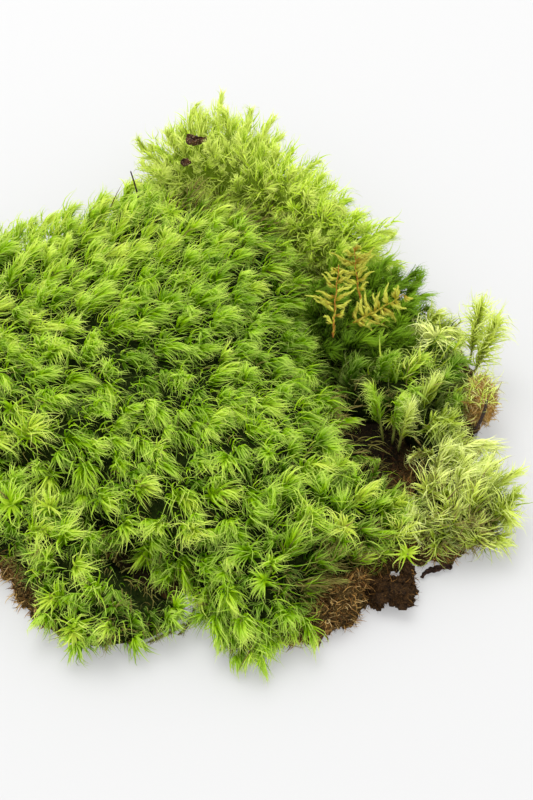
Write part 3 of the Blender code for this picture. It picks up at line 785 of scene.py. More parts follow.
@dataclass
class LeafBatch:
    """Leaves gathered as arrays: each is a curved strip that ends in a hair point."""

    widths: tuple[float, ...] = LONG_LEAF
    leaves: list[tuple[Array, ...]] = field(default_factory=list)

    def curved(
        self, root: Array, bends: tuple[Array, Array, Array], side: Array, size: Array, tint: Array,
        wave: Array | float = 0.0,
    ) -> None:
        """Add leaves that turn smoothly through three directions.

        Args:
            root: where each leaf springs from.
            bends: its unit directions at the root, halfway and at the tip.
            side: the direction across its blade.
            size: its length and its widest breadth.
            tint: its place on the finish's scale of colours, from 0 to 1.
            wave: the way in which each leaf waves to and fro.
        """
        start, middle, end = bends
        parts = len(self.widths)
        ways = []
        for step in range(parts):
            share = (step + 0.4) / (parts - 0.2)
            way = start * (1 - share) ** 2 + 2 * middle * share * (1 - share) + end * share ** 2
            ways.append(unit(way + wave * (math.sin(WAVE_TURN * share) * share)))
        self.leaves.append((root, np.stack(ways, axis=1), side, size, tint))

    def arrays(self, keep: slice | Array) -> tuple[Array, ...]:
        """Return the roots, ways, sides, sizes and tints of some leaves."""
        return tuple(np.concatenate(parts)[keep] for parts in zip(*self.leaves))

    def clear(self, boxes: list[tuple[Array, Array]]) -> None:
        """Take out the leaves that would pierce some boxes.

        Args:
            boxes: the lowest and the highest corner of each box.
        """
        points = self.points(slice(None))
        keep = np.ones(len(points), dtype=bool)
        for low, high in boxes:
            keep &= ~np.all((points > low) & (points < high), axis=2).any(axis=1)
        self.leaves = [self.arrays(keep)]

    def points(self, keep: slice) -> Array:
        """Return the points of some leaves, leaf by leaf.

        Args:
            keep: which leaves are wanted.

        Returns:
            Two points for each part of a leaf and one for its tip, all lifted off the ground.
        """
        spine, ways, side, size, _ = self.arrays(keep)
        parts = len(self.widths)
        rows = []
        for step, width in enumerate(self.widths):
            way = ways[:, step]
            reach = unit(side - way * np.sum(side * way, axis=1, keepdims=True))
            half = reach * size[:, 1:2] * (width / 2)
            rows += [spine - half, spine + half]
            spine = spine + way * (size[:, :1] / parts)
        points = np.stack([*rows, spine], axis=1)
        lying = np.abs(points[..., 2]) * 0.06 + LEAST_HEIGHT
        points[..., 2] = np.where(points[..., 2] < LEAST_HEIGHT, lying, points[..., 2])
        return points

    def mesh(self, keep: slice) -> Mesh:
        """Return some of the leaves as one mesh with its own map of tint and length.

        Args:
            keep: which leaves are wanted.

        Returns:
            The new mesh.
        """
        points = self.points(keep)
        leaves, corners, _ = points.shape
        parts = len(self.widths)
        quads = [(2 * k, 2 * k + 1, 2 * k + 3, 2 * k + 2) for k in range(parts - 1)]
        pattern = np.array([v for quad in quads for v in quad] + [corners - 3, corners - 2, corners - 1])
        number = np.arange(leaves)[:, None]
        loops = (number * corners + pattern[None, :]).ravel()
        faces = (number * len(pattern) + 4 * np.arange(parts)[None, :]).ravel()
        mesh = bpy.data.meshes.new("leaves")
        mesh.vertices.add(leaves * corners)
        set_points(mesh, points)
        mesh.loops.add(len(loops))
        mesh.loops.foreach_set("vertex_index", loops.astype(np.int32))
        mesh.polygons.add(len(faces))
        mesh.polygons.foreach_set("loop_start", faces.astype(np.int32))
        mesh.polygons.foreach_set("use_smooth", np.ones(len(faces), dtype=bool))
        mesh.update(calc_edges=True)
        layer = mesh.uv_layers.new(name=LEAF_MAP)
        shares = np.array([step / parts for step in range(parts) for _ in (0, 1)] + [1.0])
        tint_map = np.repeat(np.clip(self.arrays(keep)[-1], *MAP_RANGE), len(pattern))
        along_map = np.tile(np.clip(shares[pattern], *MAP_RANGE), leaves)
        layer.data.foreach_set("uv", np.stack([tint_map, along_map], axis=1).astype(np.float32).ravel())
        mesh.validate()
        return mesh

    def pieces(self, node: str, part: str, slot: Slot, finish: LeafFinish) -> None:
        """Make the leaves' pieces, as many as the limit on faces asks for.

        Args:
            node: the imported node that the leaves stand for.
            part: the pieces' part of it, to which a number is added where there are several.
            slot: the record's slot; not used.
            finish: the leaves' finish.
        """
        total = sum(len(leaf[-1]) for leaf in self.leaves)
        pieces = math.ceil(total * (2 * len(self.widths) - 1) / MOST_FACES)
        for k in range(pieces):
            mesh = self.mesh(slice(total * k // pieces, total * (k + 1) // pieces))
            new_piece(node, part if pieces == 1 else f"{part}_{k + 1}", mesh, finish)


@dataclass(frozen=True)
class LeafForm:
    """The leaves of one kind of shoot: their size, how many, how far they open, sweep and hook."""

    length_mm: float
    width_mm: float
    count: int
    zone_mm: float
    opening_top: float
    opening_low: float
    sweep: float
    spread: float
    droop: float
    hook: float
    tint: float
    tint_low: float
    old_share: float
    stray: float = 0.3
    locks: int = 7
    pull: float = 0.5
    wave: float = 0.3
    loose: float = 0.12
    curl: float = 0.55

    def lock_noise(self, lock: Array, amount: float, own: float, random: Random) -> Array:
        """Return random vectors that are nearly the same for all leaves of a lock.

        Args:
            lock: the number of each leaf's lock, shoot by leaf.
            amount: how much the locks differ.
            own: how much of that each leaf differs by itself.
            random: the source of the vectors.

        Returns:
            One vector for each leaf.
        """
        shared = random.normal(0, amount, (len(lock), 2 * self.locks, 3))
        vectors = np.take_along_axis(shared, lock[..., None], axis=1).reshape(-1, 3)
        return vectors + random.normal(0, amount * own, vectors.shape)


@dataclass
class ShootSet:
    """Shoots as arrays: stem foot, bend and apex, the way each is combed, and its vigour."""

    foot: Array
    bend: Array
    apex: Array
    comb: Array
    tint: Array
    size: Array
    rosette: Array
    old: Array

    def kept(self, keep: Array) -> ShootSet:
        """Return only the shoots for which an array is true."""
        return ShootSet(
            self.foot[keep], self.bend[keep], self.apex[keep], self.comb[keep],
            self.tint[keep], self.size[keep], self.rosette[keep], self.old[keep],
        )

    def thinned(self, places: Array, loss: float, random: Random) -> ShootSet:
        """Return the shoots thinned, stunted and browned where the moss is bare.

        Args:
            places: where each shoot stands.
            loss: how many are missing at the middle of a bare spot.
            random: the source of their small differences.

        Returns:
            The shoots that stand.
        """
        bare = spot_total(BARE_SPOTS, places)
        olive = spot_total(OLIVE_SPOTS, places)
        self.size = self.size * (1 - 0.45 * np.minimum(bare, 1.0))
        # Lighter and lit spots add painted light; darker and shaded spots darken, partly as painted shade;
        # bare spots in the hollow, notch and crevices darken the shoots as painted shade.
        self.tint = self.tint + spot_total(LIGHTER_AND_LIT_SPOTS, places) - 0.2 * np.minimum(bare, 1.0)
        self.tint = self.tint + spot_total(DARKER_AND_SHADED_SPOTS, places)
        self.old = np.maximum(0.55 * np.minimum(bare, 1.0), olive) * random.uniform(0.4, 1.2, len(bare))
        self.tint = self.tint - 0.2 * olive
        return self.kept(random.random(len(bare)) > bare * loss)

    def grow(self, batch: LeafBatch, form: LeafForm, random: Random) -> None:
        """Grow a spiral of leaves on every shoot, drawn together into locks.

        Args:
            batch: where the leaves go.
            form: the form of the leaves.
            random: the source of their small differences.
        """
        shoots = len(self.foot)
        if not shoots:
            return
        number = form.count
        share = ((np.arange(number) + 0.5) / number) ** 0.8
        order = np.tile(share, (shoots, 1)) + random.uniform(-0.5, 0.5, (shoots, number)) / number
        order = np.clip(order, 0.0, 1.0)[..., None]
        foot, bend, apex = (p[:, None, :] for p in (self.foot, self.bend, self.apex))
        place = (1 - order) ** 2 * foot + 2 * order * (1 - order) * bend + order ** 2 * apex
        axis = unit((1 - order) * (bend - foot) + order * (apex - bend)).reshape(-1, 3)
        first, second = across(axis)

        turn = (np.arange(number) * GOLDEN_ANGLE)[None, :] + random.uniform(0, math.tau, (shoots, 1))
        turn = (turn + random.normal(0, 0.2, (shoots, number))) % math.tau
        sector = np.minimum((turn / math.tau * form.locks).astype(int), form.locks - 1)
        turn = turn + ((sector + 0.5) / form.locks * math.tau - turn) * form.pull
        lock = sector + form.locks * (order[..., 0] > 0.55)
        wander = form.lock_noise(lock, form.stray, 0.3, random)
        loose = random.random((len(wander), 1)) < form.loose
        wander = np.where(loose, random.normal(0, 0.7, wander.shape), wander)
        radial = first * np.cos(turn.reshape(-1, 1)) + second * np.sin(turn.reshape(-1, 1))

        tall = order.reshape(-1, 1)
        rosette = np.repeat(self.rosette, number)[:, None]
        opening = form.opening_low + (form.opening_top - form.opening_low) * tall ** 1.5
        opening = opening + random.normal(0, 0.14, opening.shape) + rosette * 0.3
        start = unit(axis * np.cos(opening) + radial * np.sin(opening))
        comb = np.repeat(self.comb, number, axis=0)
        swirl = np.cross(unit(apex - foot)[:, 0] + self.comb * 0.3, self.comb)
        swirl = np.repeat(swirl * random.normal(0, 0.4, (shoots, 1)), number, axis=0)
        sweep = form.sweep * (1 - 0.8 * rosette)
        out = radial * (form.spread + 0.45 * rosette)
        middle = unit(start * 0.6 + comb * sweep + out + wander * 0.7 - UP * form.droop * 0.5)
        curl = random.normal(0, 0.08, middle.shape)
        fall = UP * (form.droop + form.hook * random.uniform(0.2, 1.4, tall.shape) + 0.15 * rosette)
        back = start * form.curl * random.uniform(0.2, 1.4, tall.shape)
        end = unit(middle * 0.3 + comb * sweep * 0.9 + out * 0.3 + wander * 1.4 + curl + swirl - fall - back)

        side = unit(np.cross(axis, radial) + radial * random.normal(0, 0.35, tall.shape))
        grown = np.repeat(self.size, number)[:, None]
        length = form.length_mm * MM * grown * random.uniform(0.65, 1.15, tall.shape)
        length = length * (1.0 - 0.3 * np.clip((tall - 0.8) / 0.2, 0, 1))
        width = form.width_mm * MM * random.uniform(0.75, 1.2, tall.shape)
        # Lower leaves are darker: partly older leaves, partly painted shade low in the shoot.
        tint = np.repeat(self.tint, number) + form.tint_low * (1 - tall[:, 0]) ** 1.3
        tint = tint + random.normal(0, 0.035, len(tint))
        old_share = form.old_share * (1.2 - tall[:, 0]) + np.repeat(self.old, number)
        old = random.random(len(tint)) < old_share
        tint = np.where(old, random.uniform(*OLD_TINTS, len(tint)), np.clip(tint, 0.24, 1.0))
        width = width * np.where(old, 0.6, 1.0)[:, None]
        wave = form.lock_noise(lock, form.wave, 0.35, random)
        batch.curved(place.reshape(-1, 3), (start, middle, end), side, np.hstack([length, width]), tint, wave)


def lone_shoot(
    places: tuple[Vector, Vector, Vector], tint: float, comb: Triple = (0.0, 0.0, 0.0),
    rosette: float = 0.0, old: float = 0.0,
) -> ShootSet:
    """Return a single shoot.

    Args:
        places: its stem's foot, bend and apex.
        tint: its place on the scale of colours.
        comb: the way in which it is combed.
        rosette: how much it opens as a rosette.
        old: how many of its leaves are old.

    Returns:
        The shoot.
    """
    one = np.ones(1)
    stem = [np.array(place)[None, :] for place in places]
    return ShootSet(*stem, np.array([comb]), one * tint, one, one * rosette, one * old)


@dataclass(frozen=True)
class FurForm:
    """Single leaves that stand all over a lobe, between and over its shoots."""

    density: float
    length_mm: float
    width_mm: float
    tint: float
    sweep: float
    wave: float
    old_share: float

    def sizes(self, count: int, longest: float, random: Random) -> Array:
        """Return leaves' lengths and breadths.

        Args:
            count: how many leaves there are.
            longest: the longest leaf, as a share of the form's length.
            random: the source of their small differences.

        Returns:
            A length and a breadth for each leaf.
        """
        length = self.length_mm * MM * random.uniform(0.6, longest, (count, 1))
        return np.hstack([length, self.width_mm * MM * random.uniform(0.7, 1.2, (count, 1))])


class SolidReader:
    """Reads the shoots' places back from a lobe's faceted solid."""

    def __init__(self, node: bpy.types.Object) -> None:
        """Merge a copy of the node's mesh and find its shoots.

        Args:
            node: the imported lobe.
        """
        shape = bmesh.new()
        shape.from_mesh(node.data)
        bmesh.ops.remove_doubles(shape, verts=shape.verts, dist=MERGE_DISTANCE)
        shape.verts.ensure_lookup_table()
        shape.normal_update()
        self.points = np.array([v.co[:] for v in shape.verts])
        self.normals = np.array([v.normal[:] for v in shape.verts])
        self.around = [[e.other_vert(v).index for e in v.link_edges] for v in shape.verts]
        self.faces = [tuple(v.index for v in face.verts) for face in shape.faces]
        shape.free()
        self.low = self.points[:, 2].min()
        self.tips = self.find_tips()
        valley, self.halfway, self.tip = self.shoots()
        self.way = unit(self.halfway - valley)
        rise = self.tip - self.halfway
        self.hook = (rise - self.way * np.sum(rise * self.way, axis=1, keepdims=True)) / HOOK_LENGTH

    def find_tips(self) -> list[int]:
        """Find the vertices that are shoot tips.

        Returns:
            Their numbers.
        """
        degree = [len(ring) for ring in self.around]
        found = []
        for vertex, ring in enumerate(self.around):
            if len(ring) not in TIP_EDGES or any(degree[v] != RING_EDGES for v in ring):
                continue
            rise = self.points[vertex] - self.points[ring].mean(axis=0)
            if rise @ self.normals[vertex] > 0:
                found.append(vertex)
        return found

    def shoots(self) -> tuple[Array, Array, Array]:
        """Find the rings of vertices round each tip.

        Returns:
            Each shoot's valley ring centre, halfway ring centre and tip.
        """
        valley, halfway, top = [], [], []
        taken = set(self.tips)
        for tip in self.tips:
            ring = self.around[tip]
            inner = set(ring)
            outer = {v for r in ring for v in self.around[r]} - inner - taken
            valley.append(self.points[list(outer)].mean(axis=0))
            halfway.append(self.points[ring].mean(axis=0))
            top.append(self.points[tip])
        return np.array(valley), np.array(halfway), np.array(top)

    def rim(self, apart: float, random: Random) -> tuple[Array, Array]:
        """Return places round the lobe's lower edge and the level ways outwards there.

        Args:
            apart: the distance between places.
            random: the source of their small differences.

        Returns:
            The points and the unit directions.
        """
        places, ways = [], []
        for face in self.faces:
            corners = self.points[list(face)]
            normal = unit(np.cross(corners[1] - corners[0], corners[2] - corners[0]))
            level = normal * [1.0, 1.0, 0.0]
            on_edge = np.flatnonzero(corners[:, 2] < self.low + 0.5 * MM)
            if len(on_edge) != 2 or np.linalg.norm(level) < 0.35:
                continue
            first, last = corners[on_edge]
            steps = max(1, int(round(np.linalg.norm(last - first) / apart)))
            for k in range(steps):
                places.append(first + (last - first) * (k + random.random()) / steps)
                ways.append(unit(level))
        return np.array(places), np.array(ways)

    def scattered(self, density: float, random: Random) -> tuple[Array, Array]:
        """Return places scattered evenly over the lobe's upper faces, and the ways outwards there.

        Args:
            density: how many places for each square millimetre.
            random: the source of the places.

        Returns:
            The points and the unit normals.
        """
        corners = self.points[np.array([face[:3] for face in self.faces])]
        ways, area = ways_and_areas(corners)
        area = np.where(corners[:, :, 2].max(axis=1) > self.low + 2.0 * MM, area, 0.0)
        return scatter(corners, ways, area, density, random)

    def valleys(self) -> Array:
        """Find the valley points between the shoots, clear of the foot.

        Returns:
            Their numbers.
        """
        shoots = {*self.tips, *(v for tip in self.tips for v in self.around[tip])}
        high = self.points[:, 2] > self.low + 1.5 * MM
        return np.array([v for v in np.flatnonzero(high) if v not in shoots], dtype=int)


MAIN_FORM = LeafForm(
    9.4, 0.84, 94, 8.0, 0.2, 0.88, 1.1, 0.22, 0.1, 0.7, 0.81, -0.26, 0.02, 0.42, 5, 0.75, 0.3, 0.03, 0.8
)
CLAW_FORM = LeafForm(
    12.4, 0.90, 66, 8.0, 0.3, 1.0, 1.0, 0.32, 0.1, 0.8, 0.90, -0.30, 0.04, 0.46, 6, 0.6, 0.3, 0.04, 1.0
)
FILLER_FORM = LeafForm(
    8.5, 0.66, 40, 6.0, 0.25, 0.95, 0.9, 0.3, 0.0, 0.5, 0.55, -0.2, 0.05, 0.4, 4, 0.65, 0.3, 0.06, 0.7
)
RIDGE_FORM = LeafForm(
    7.4, 0.72, 138, 17.0, 0.05, 0.5, 0.5, 0.08, -0.2, 0.4, 0.95, -0.10, 0.01, 0.26, 6, 0.7, 0.2, 0.03, 0.6
)
PALE_FORM = LeafForm(
    12.0, 0.84, 132, 10.0, 0.2, 1.0, 0.8, 0.34, -0.35, 0.1, 1.06, -0.30, 0.03, 0.46, 6, 0.7, 0.35, 0.05, 1.0
)
RIDGE_FILLERS = LeafForm(
    7.2, 0.66, 48, 7.0, 0.1, 0.5, 0.7, 0.16, -0.2, 0.3, 0.83, -0.12, 0.02, 0.26, 4, 0.7, 0.2, 0.05, 0.4
)
PALE_FILLERS = LeafForm(
    10.0, 0.62, 44, 7.0, 0.2, 0.8, 1.0, 0.24, -0.2, 0.2, 0.60, -0.2, 0.10, 0.3, 4, 0.7, 0.3, 0.05, 0.8
)
DARK_FORM = LeafForm(
    8.0, 0.62, 100, 10.0, 0.2, 0.85, 1.0, 0.26, -0.15, 0.2, 0.72, -0.30, 0.02, 0.28, 6, 0.6, 0.15, 0.05, 0.4
)
DARK_FILLERS = LeafForm(
    7.5, 0.58, 40, 7.0, 0.25, 0.9, 1.0, 0.3, -0.1, 0.2, 0.52, -0.14, 0.04, 0.3, 4, 0.6, 0.15, 0.06, 0.4
)
RIM_FORM = LeafForm(7.0, 0.60, 26, 0.0, 0.3, 1.1, 0.8, 0.45, 0.1, 0.3, 0.56, -0.1, 0.05, 0.5, 5, 0.5)
PALE_RIM_FORM = LeafForm(8.0, 0.60, 32, 0.0, 0.3, 1.1, 0.7, 0.45, 0.0, 0.1, 0.62, -0.2, 0.1, 0.5, 5, 0.5)
FREE_FORM = LeafForm(
    9.0, 0.66, 170, 0.0, 0.1, 0.55, 0.8, 0.2, -0.2, 0.3, 0.86, -0.2, 0.02, 0.26, 6, 0.7, 0.25, 0.03
)
TALL_FORM = LeafForm(
    12.5, 0.70, 190, 0.0, 0.25, 0.85, 0.4, 0.35, -0.1, 1.0, 0.79, -0.08, 0.0, 0.5, 8, 0.7, 0.4, 0.05, 1.1
)
STAR_FORM = LeafForm(
    7.2, 1.1, 18, 0.0, 0.6, 1.25, 0.3, 0.8, -0.1, 0.35, 0.88, -0.06, 0.0, 0.25, 9, 0.0, 0.25, 0.0, 0.3
)
STEM_FORM = LeafForm(3.2, 0.50, 60, 0.0, 0.25, 0.45, 0.2, 0.2, 0.0, 0.0, 0.10, 0.0, 1.0, 0.2)
LITTER_FORM = LeafForm(4.0, 0.6, 120, 0.0, 0.15, 0.3, 0.0, 0.1, 0.0, 0.0, 0.12, 0.0, 1.0, 0.12)


@dataclass(frozen=True)
class RimForm:
    """The small, half dead shoots that hang over the lower edge of a lobe."""

    leaves: LeafForm
    apart_mm: float
    old: float


@dataclass
class MossLobe:
    """One lobe of moss: the leafy shoots and the thatch, whose colour is painted shade (painted light on the
    ridge), that stand for its solid.
    """

    node: str
    slot: Slot
    leaves: LeafForm
    fillers: LeafForm
    finish: LeafFinish
    filler_share: float
    seed: int
    apex_share: float = 0.3
    apex_spread: float = 0.0
    arch_mm: float = 3.5
    second_share: float = 0.55
    combed_noise: float = 0.45
    claws: LeafForm | None = None
    green_at: tuple[Spot, ...] = ()
    thatch_finish: EarthFinish = SHADOW_THATCH
    rim: RimForm | None = None
    fur_form: FurForm | None = None
    gap_share: float = 0.0
    second_reach: tuple[float, float] = (0.8, 1.25)
    gaps: tuple[Spot, ...] = field(default=(), init=False)

    def find_gaps(self, reader: SolidReader, random: Random) -> None:
        """Choose the valleys between shoots that stay open, without lesser shoots or leaves.

        Args:
            reader: the lobe's solid.
            random: the source of the choice.
        """
        places = reader.points[reader.valleys()]
        open_share = self.gap_share * (0.35 + spot_total(GAPPY_SPOTS, places))
        chosen = places[random.random(len(places)) < open_share] / MM
        self.gaps = tuple(Spot(x, y, GAP_RADIUS_MM) for x, y, _ in chosen)

    def leading(self, reader: SolidReader, random: Random) -> ShootSet:
        """Return the lobe's leading shoots, one for each tip of its solid.

        Args:
            reader: the lobe's solid.
            random: the source of their small differences.

        Returns:
            The shoots.
        """
        halfway, way = reader.halfway, reader.way
        comb = capped(smoothed(halfway, reader.hook))
        comb = combed(comb, halfway) + random.normal(0, self.combed_noise, comb.shape)
        zone = self.leaves.zone_mm * MM
        rosette = spot_total(ROSETTES, halfway)
        arch = comb * self.arch_mm * MM * (1 - rosette[:, None]) * random.uniform(0.5, 1.3, (len(comb), 1))
        share = self.apex_share + self.apex_spread * value_noise(halfway, 9 * MM, self.seed)[:, None]
        apex = halfway + (reader.tip - halfway) * share + arch + random.normal(0, 1.2 * MM, comb.shape)
        tint = self.leaves.tint + 0.07 * value_noise(halfway, 30 * MM, self.seed)
        tint = tint + random.normal(0, 0.07, len(tint)) + 0.14 * spot_total(CLAW_SPOTS, halfway)
        size = random.uniform(0.75, 1.2, len(tint))
        foot, bend = halfway - way * zone * 0.75, halfway + way * zone * 0.05
        shoots = ShootSet(foot, bend, apex, comb, tint, size, rosette, np.zeros(len(tint)))
        return shoots.thinned(halfway, LEADING_LOSS, random)

    def lesser(self, reader: SolidReader, random: Random) -> tuple[ShootSet, ShootSet]:
        """Return the shoots in the valleys between the leading ones: taller ones and low ones.

        Args:
            reader: the lobe's solid.
            random: the source of their small differences.

        Returns:
            The taller and the low shoots.
        """
        low = reader.valleys()
        low = low[random.random(len(low)) < self.filler_share]
        low = low[random.random(len(low)) > 0.8 * spot_total(self.gaps, reader.points[low])]
        places = reader.points[low]
        near = nearest(reader.halfway, places, 3)
        up = unit(reader.way[near].mean(axis=1))
        lean = combed(capped(reader.hook[near].mean(axis=1)), places) + random.normal(0, 0.4, up.shape)
        rise = reader.halfway[near].mean(axis=1) - places
        second = random.random(len(up)) < self.second_share
        tall = random.uniform(*self.second_reach, len(up))
        reach = np.where(second, tall, random.uniform(0.1, 0.6, len(up)))
        lift = np.sum(rise * up, axis=1, keepdims=True) * reach[:, None]
        top = places + up * (lift + 1.0 * MM) + lean * np.where(second, self.arch_mm, 0.8)[:, None] * MM
        zone = np.where(second, self.leaves.zone_mm, self.fillers.zone_mm)[:, None] * MM
        # Low shoots in the valleys are darker than leading ones, and darker still among the claws: partly
        # painted shade in the valleys.
        tint = self.fillers.tint - 0.12 * spot_total(CLAW_SPOTS, places)
        tint = np.where(second, self.leaves.tint - 0.05, tint) + random.normal(0, 0.07, len(up))
        size = random.uniform(0.8, 1.1, len(up))
        rosette = 0.7 * spot_total(ROSETTES, top)
        foot, bend = top - up * zone, top - up * zone * 0.4
        shoots = ShootSet(foot, bend, top, lean, tint, size, rosette, np.zeros(len(up)))
        taller = shoots.kept(second).thinned(top[second], LESSER_LOSS, random)
        return taller, shoots.kept(~second).thinned(top[~second], LESSER_LOSS, random)

    def fur(self, reader: SolidReader, batch: LeafBatch, random: Random) -> None:
        """Grow single leaves all over the lobe, crossing each other in the gaps between shoots.

        Args:
            reader: the lobe's solid.
            batch: where the leaves go.
            random: the source of their small differences.
        """
        form = self.fur_form
        places, normals = reader.scattered(form.density, random)
        near = nearest(reader.halfway, places, 3)
        up = unit(reader.way[near].mean(axis=1))
        lean = smoothed(reader.halfway, reader.tip - reader.halfway)[near].mean(axis=1)
        lean = combed(unit(lean - up * np.sum(lean * up, axis=1, keepdims=True)) * 0.7, places)
        bare = np.minimum(spot_total(BARE_SPOTS, places), 1.0)
        claws = spot_total(CLAW_SPOTS, places)
        sunk = spot_total(self.gaps, places) > random.uniform(0.0, 0.8, len(places))
        stands = random.random(len(places)) > np.maximum(bare * 0.5, claws * 0.5)
        kept = (places, normals, up, lean, bare, sunk)
        places, normals, up, lean, bare, sunk = (array[stands] for array in kept)
        count = len(places)
        rough = random.normal(0, 1.0, (3, count, 3))
        start = unit(up + normals * 0.4 + rough[0] * 0.3)
        middle = unit(start * 0.6 + lean * form.sweep + rough[1] * 0.3)
        end = unit(middle * 0.4 + lean * form.sweep + rough[2] * 0.4 - UP * 0.35)
        side = np.cross(start, unit(rough[0]))
        size = form.sizes(count, 1.2, random)
        olive = spot_total(OLIVE_SPOTS, places)
        tint = form.tint + 0.07 * value_noise(places, 30 * MM, self.seed) + random.normal(0, 0.09, count)
        # Lighter and lit spots add painted light; darker and shaded spots darken, partly as painted shade,
        # and leaves sunk in the open gaps are darkened more as painted shade.
        tint = tint + spot_total(LIGHTER_AND_LIT_SPOTS, places) - 0.12 * olive
        tint = tint + spot_total(DARKER_AND_SHADED_SPOTS, places) - 0.36 * sunk
        old = random.random(count) < form.old_share + 0.5 * olive + 0.9 * bare
        tint = np.where(old, random.uniform(*OLD_TINTS, count), np.clip(tint, 0.26, 1.0))
        wave = random.normal(0, form.wave, middle.shape)
        depth = np.where(sunk, 3.0, 0.5)[:, None] * MM
        batch.curved(places - normals * depth, (start, middle, end), side, size, tint, wave)

    def fringe(self, reader: SolidReader, random: Random) -> ShootSet:
        """Return the small shoots that hang over the lobe's lower edge.

        Args:
            reader: the lobe's solid.
            random: the source of their small differences.

        Returns:
            The shoots.
        """
        places, ways = reader.rim(self.rim.apart_mm * MM, random)
        count = len(places)
        rise = unit(ways + UP * random.uniform(0.2, 0.9, (count, 1)) + random.normal(0, 0.25, ways.shape))
        comb = unit(ways + random.normal(0, 0.45, ways.shape)) * 0.7
        comb = comb - UP * random.uniform(0.1, 0.8, (count, 1))
        places = places + UP * random.uniform(0.0, 5.0, (count, 1)) * MM
        foot = places - rise * 4.0 * MM
        apex = places + rise * random.uniform(-0.5, 1.5, (count, 1)) * MM
        stands = random.random(count) > spot_total(BARE_SPOTS, places)
        tint = self.rim.leaves.tint + random.normal(0, 0.08, count)
        old = self.rim.old + random.normal(0, 0.2, count) + spot_total(OLIVE_SPOTS, places)
        size = random.uniform(0.7, 1.2, count)
        shoots = ShootSet(
            foot, (foot + apex) / 2, apex, comb, tint, size, np.zeros(count), np.clip(old, 0.0, 1.0)
        )
        return shoots.kept(stands)

    def greened(self, shoots: ShootSet, batch: LeafBatch, random: Random) -> ShootSet:
        """Grow the shoots of the lobe's green corner and return the others.

        Args:
            shoots: the shoots.
            batch: where the green leaves go.
            random: the source of their small differences.

        Returns:
            The shoots that aren't in the green corner.
        """
        there = spot_total(self.green_at, shoots.bend) > random.uniform(0.1, 0.6, len(shoots.foot))
        grown = shoots.kept(there)
        grown.tint = grown.tint - 0.22
        grown.grow(batch, replace(self.leaves, count=80, length_mm=9.5, old_share=0.02), random)
        return shoots.kept(~there)

    def thatch(self) -> None:
        """Build the dead inside of the lobe: its solid, smoothed and drawn in, coloured with painted shade,
        or with painted light on the ridge.
        """
        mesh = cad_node(self.node).data.copy()
        shape = bmesh.new()
        shape.from_mesh(mesh)
        bmesh.ops.remove_doubles(shape, verts=shape.verts, dist=MERGE_DISTANCE)
        low = min(v.co.z for v in shape.verts)
        upper = [v for v in shape.verts if v.co.z > low + 0.1 * MM]
        for _ in range(THATCH_ROUNDS):
            bmesh.ops.smooth_vert(
                shape, verts=upper, factor=0.6, use_axis_x=True, use_axis_y=True, use_axis_z=True
            )
        shape.normal_update()
        for vert in upper:
            drawn = vert.co - vert.normal * THATCH_DEPTH_MM * MM
            vert.co = Vector((drawn.x, drawn.y, max(drawn.z, low + 0.2 * MM)))
        shape.to_mesh(mesh)
        shape.free()
        mesh.shade_smooth()
        new_piece(self.node, "thatch", mesh, self.thatch_finish)

    def build(self) -> None:
        """Build the lobe's pieces and let them stand for its solid."""
        random = np.random.default_rng(self.seed)
        reader = SolidReader(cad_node(self.node))
        tall, low, green = LeafBatch(), LeafBatch(SHORT_LEAF), LeafBatch(SHORT_LEAF)
        self.find_gaps(reader, random)
        leading = self.leading(reader, random)
        second, lesser = self.lesser(reader, random)
        counts = (len(leading.foot), len(second.foot), len(lesser.foot))
        LOG.info("%s: %d leading, %d second and %d low shoots", self.node, *counts)
        if self.green_at:
            parts = (leading, second, lesser)
            leading, second, lesser = (self.greened(part, green, random) for part in parts)
        clawed = (spot_total(CLAW_SPOTS, leading.bend) > 0.3) & (self.claws is not None)
        leading.kept(~clawed).grow(tall, self.leaves, random)
        leading.kept(clawed).grow(tall, self.claws or self.leaves, random)
        second.grow(tall, replace(self.leaves, count=int(self.leaves.count * SECOND_LEAVES)), random)
        lesser.grow(low, self.fillers, random)
        self.fringe(reader, random).grow(low, self.rim.leaves, random)
        if self.fur_form:
            self.fur(reader, low, random)
        for part, batch in (("leaves", tall), ("low_leaves", low)):
            batch.clear([tuple(np.array(corner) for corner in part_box(node)) for node in CLEAR_NODES])
            batch.pieces(self.node, part, self.slot, self.finish)
        if self.green_at:
            green.pieces(self.node, "green_leaves", self.slot, GREEN_LEAVES)
        self.thatch()


@dataclass
class Stem:
    """A round stem along a path, drawn from a disc by extruding ring after ring."""

    path: list[Vector]
    radii: list[float]
    sides: int = 7

    def build(self, node: str, part: str, slot: Slot, finish: EarthFinish) -> None:
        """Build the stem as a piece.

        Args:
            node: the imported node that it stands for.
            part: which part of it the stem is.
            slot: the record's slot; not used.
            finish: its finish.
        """
        bpy.ops.object.select_all(action="DESELECT")
        along = (self.path[-1] - self.path[0]).normalized()
        turn = along.to_track_quat("Z", "Y").to_euler()
        bpy.ops.mesh.primitive_circle_add(
            vertices=self.sides, radius=self.radii[0], fill_type="NGON", location=self.path[0], rotation=turn
        )
        shaped = bpy.context.object
        bpy.ops.object.transform_apply(location=True, rotation=True, scale=True)
        bpy.ops.object.mode_set(mode="EDIT")
        bpy.ops.mesh.select_mode(type="FACE")
        bpy.ops.mesh.select_all(action="SELECT")
        for k in range(1, len(self.path)):
            step = self.path[k] - self.path[k - 1]
            bpy.ops.mesh.extrude_region_move(TRANSFORM_OT_translate={"value": step})
            ratio = self.radii[k] / self.radii[k - 1]
            bpy.ops.transform.resize(value=(ratio, ratio, ratio), center_override=self.path[k])
        bpy.ops.mesh.select_all(action="SELECT")
        bpy.ops.mesh.normals_make_consistent(inside=False)
        bpy.ops.object.mode_set(mode="OBJECT")
        mesh = shaped.data.copy()
        bpy.data.objects.remove(shaped)
        mesh.shade_smooth()
        new_piece(node, part, mesh, finish)


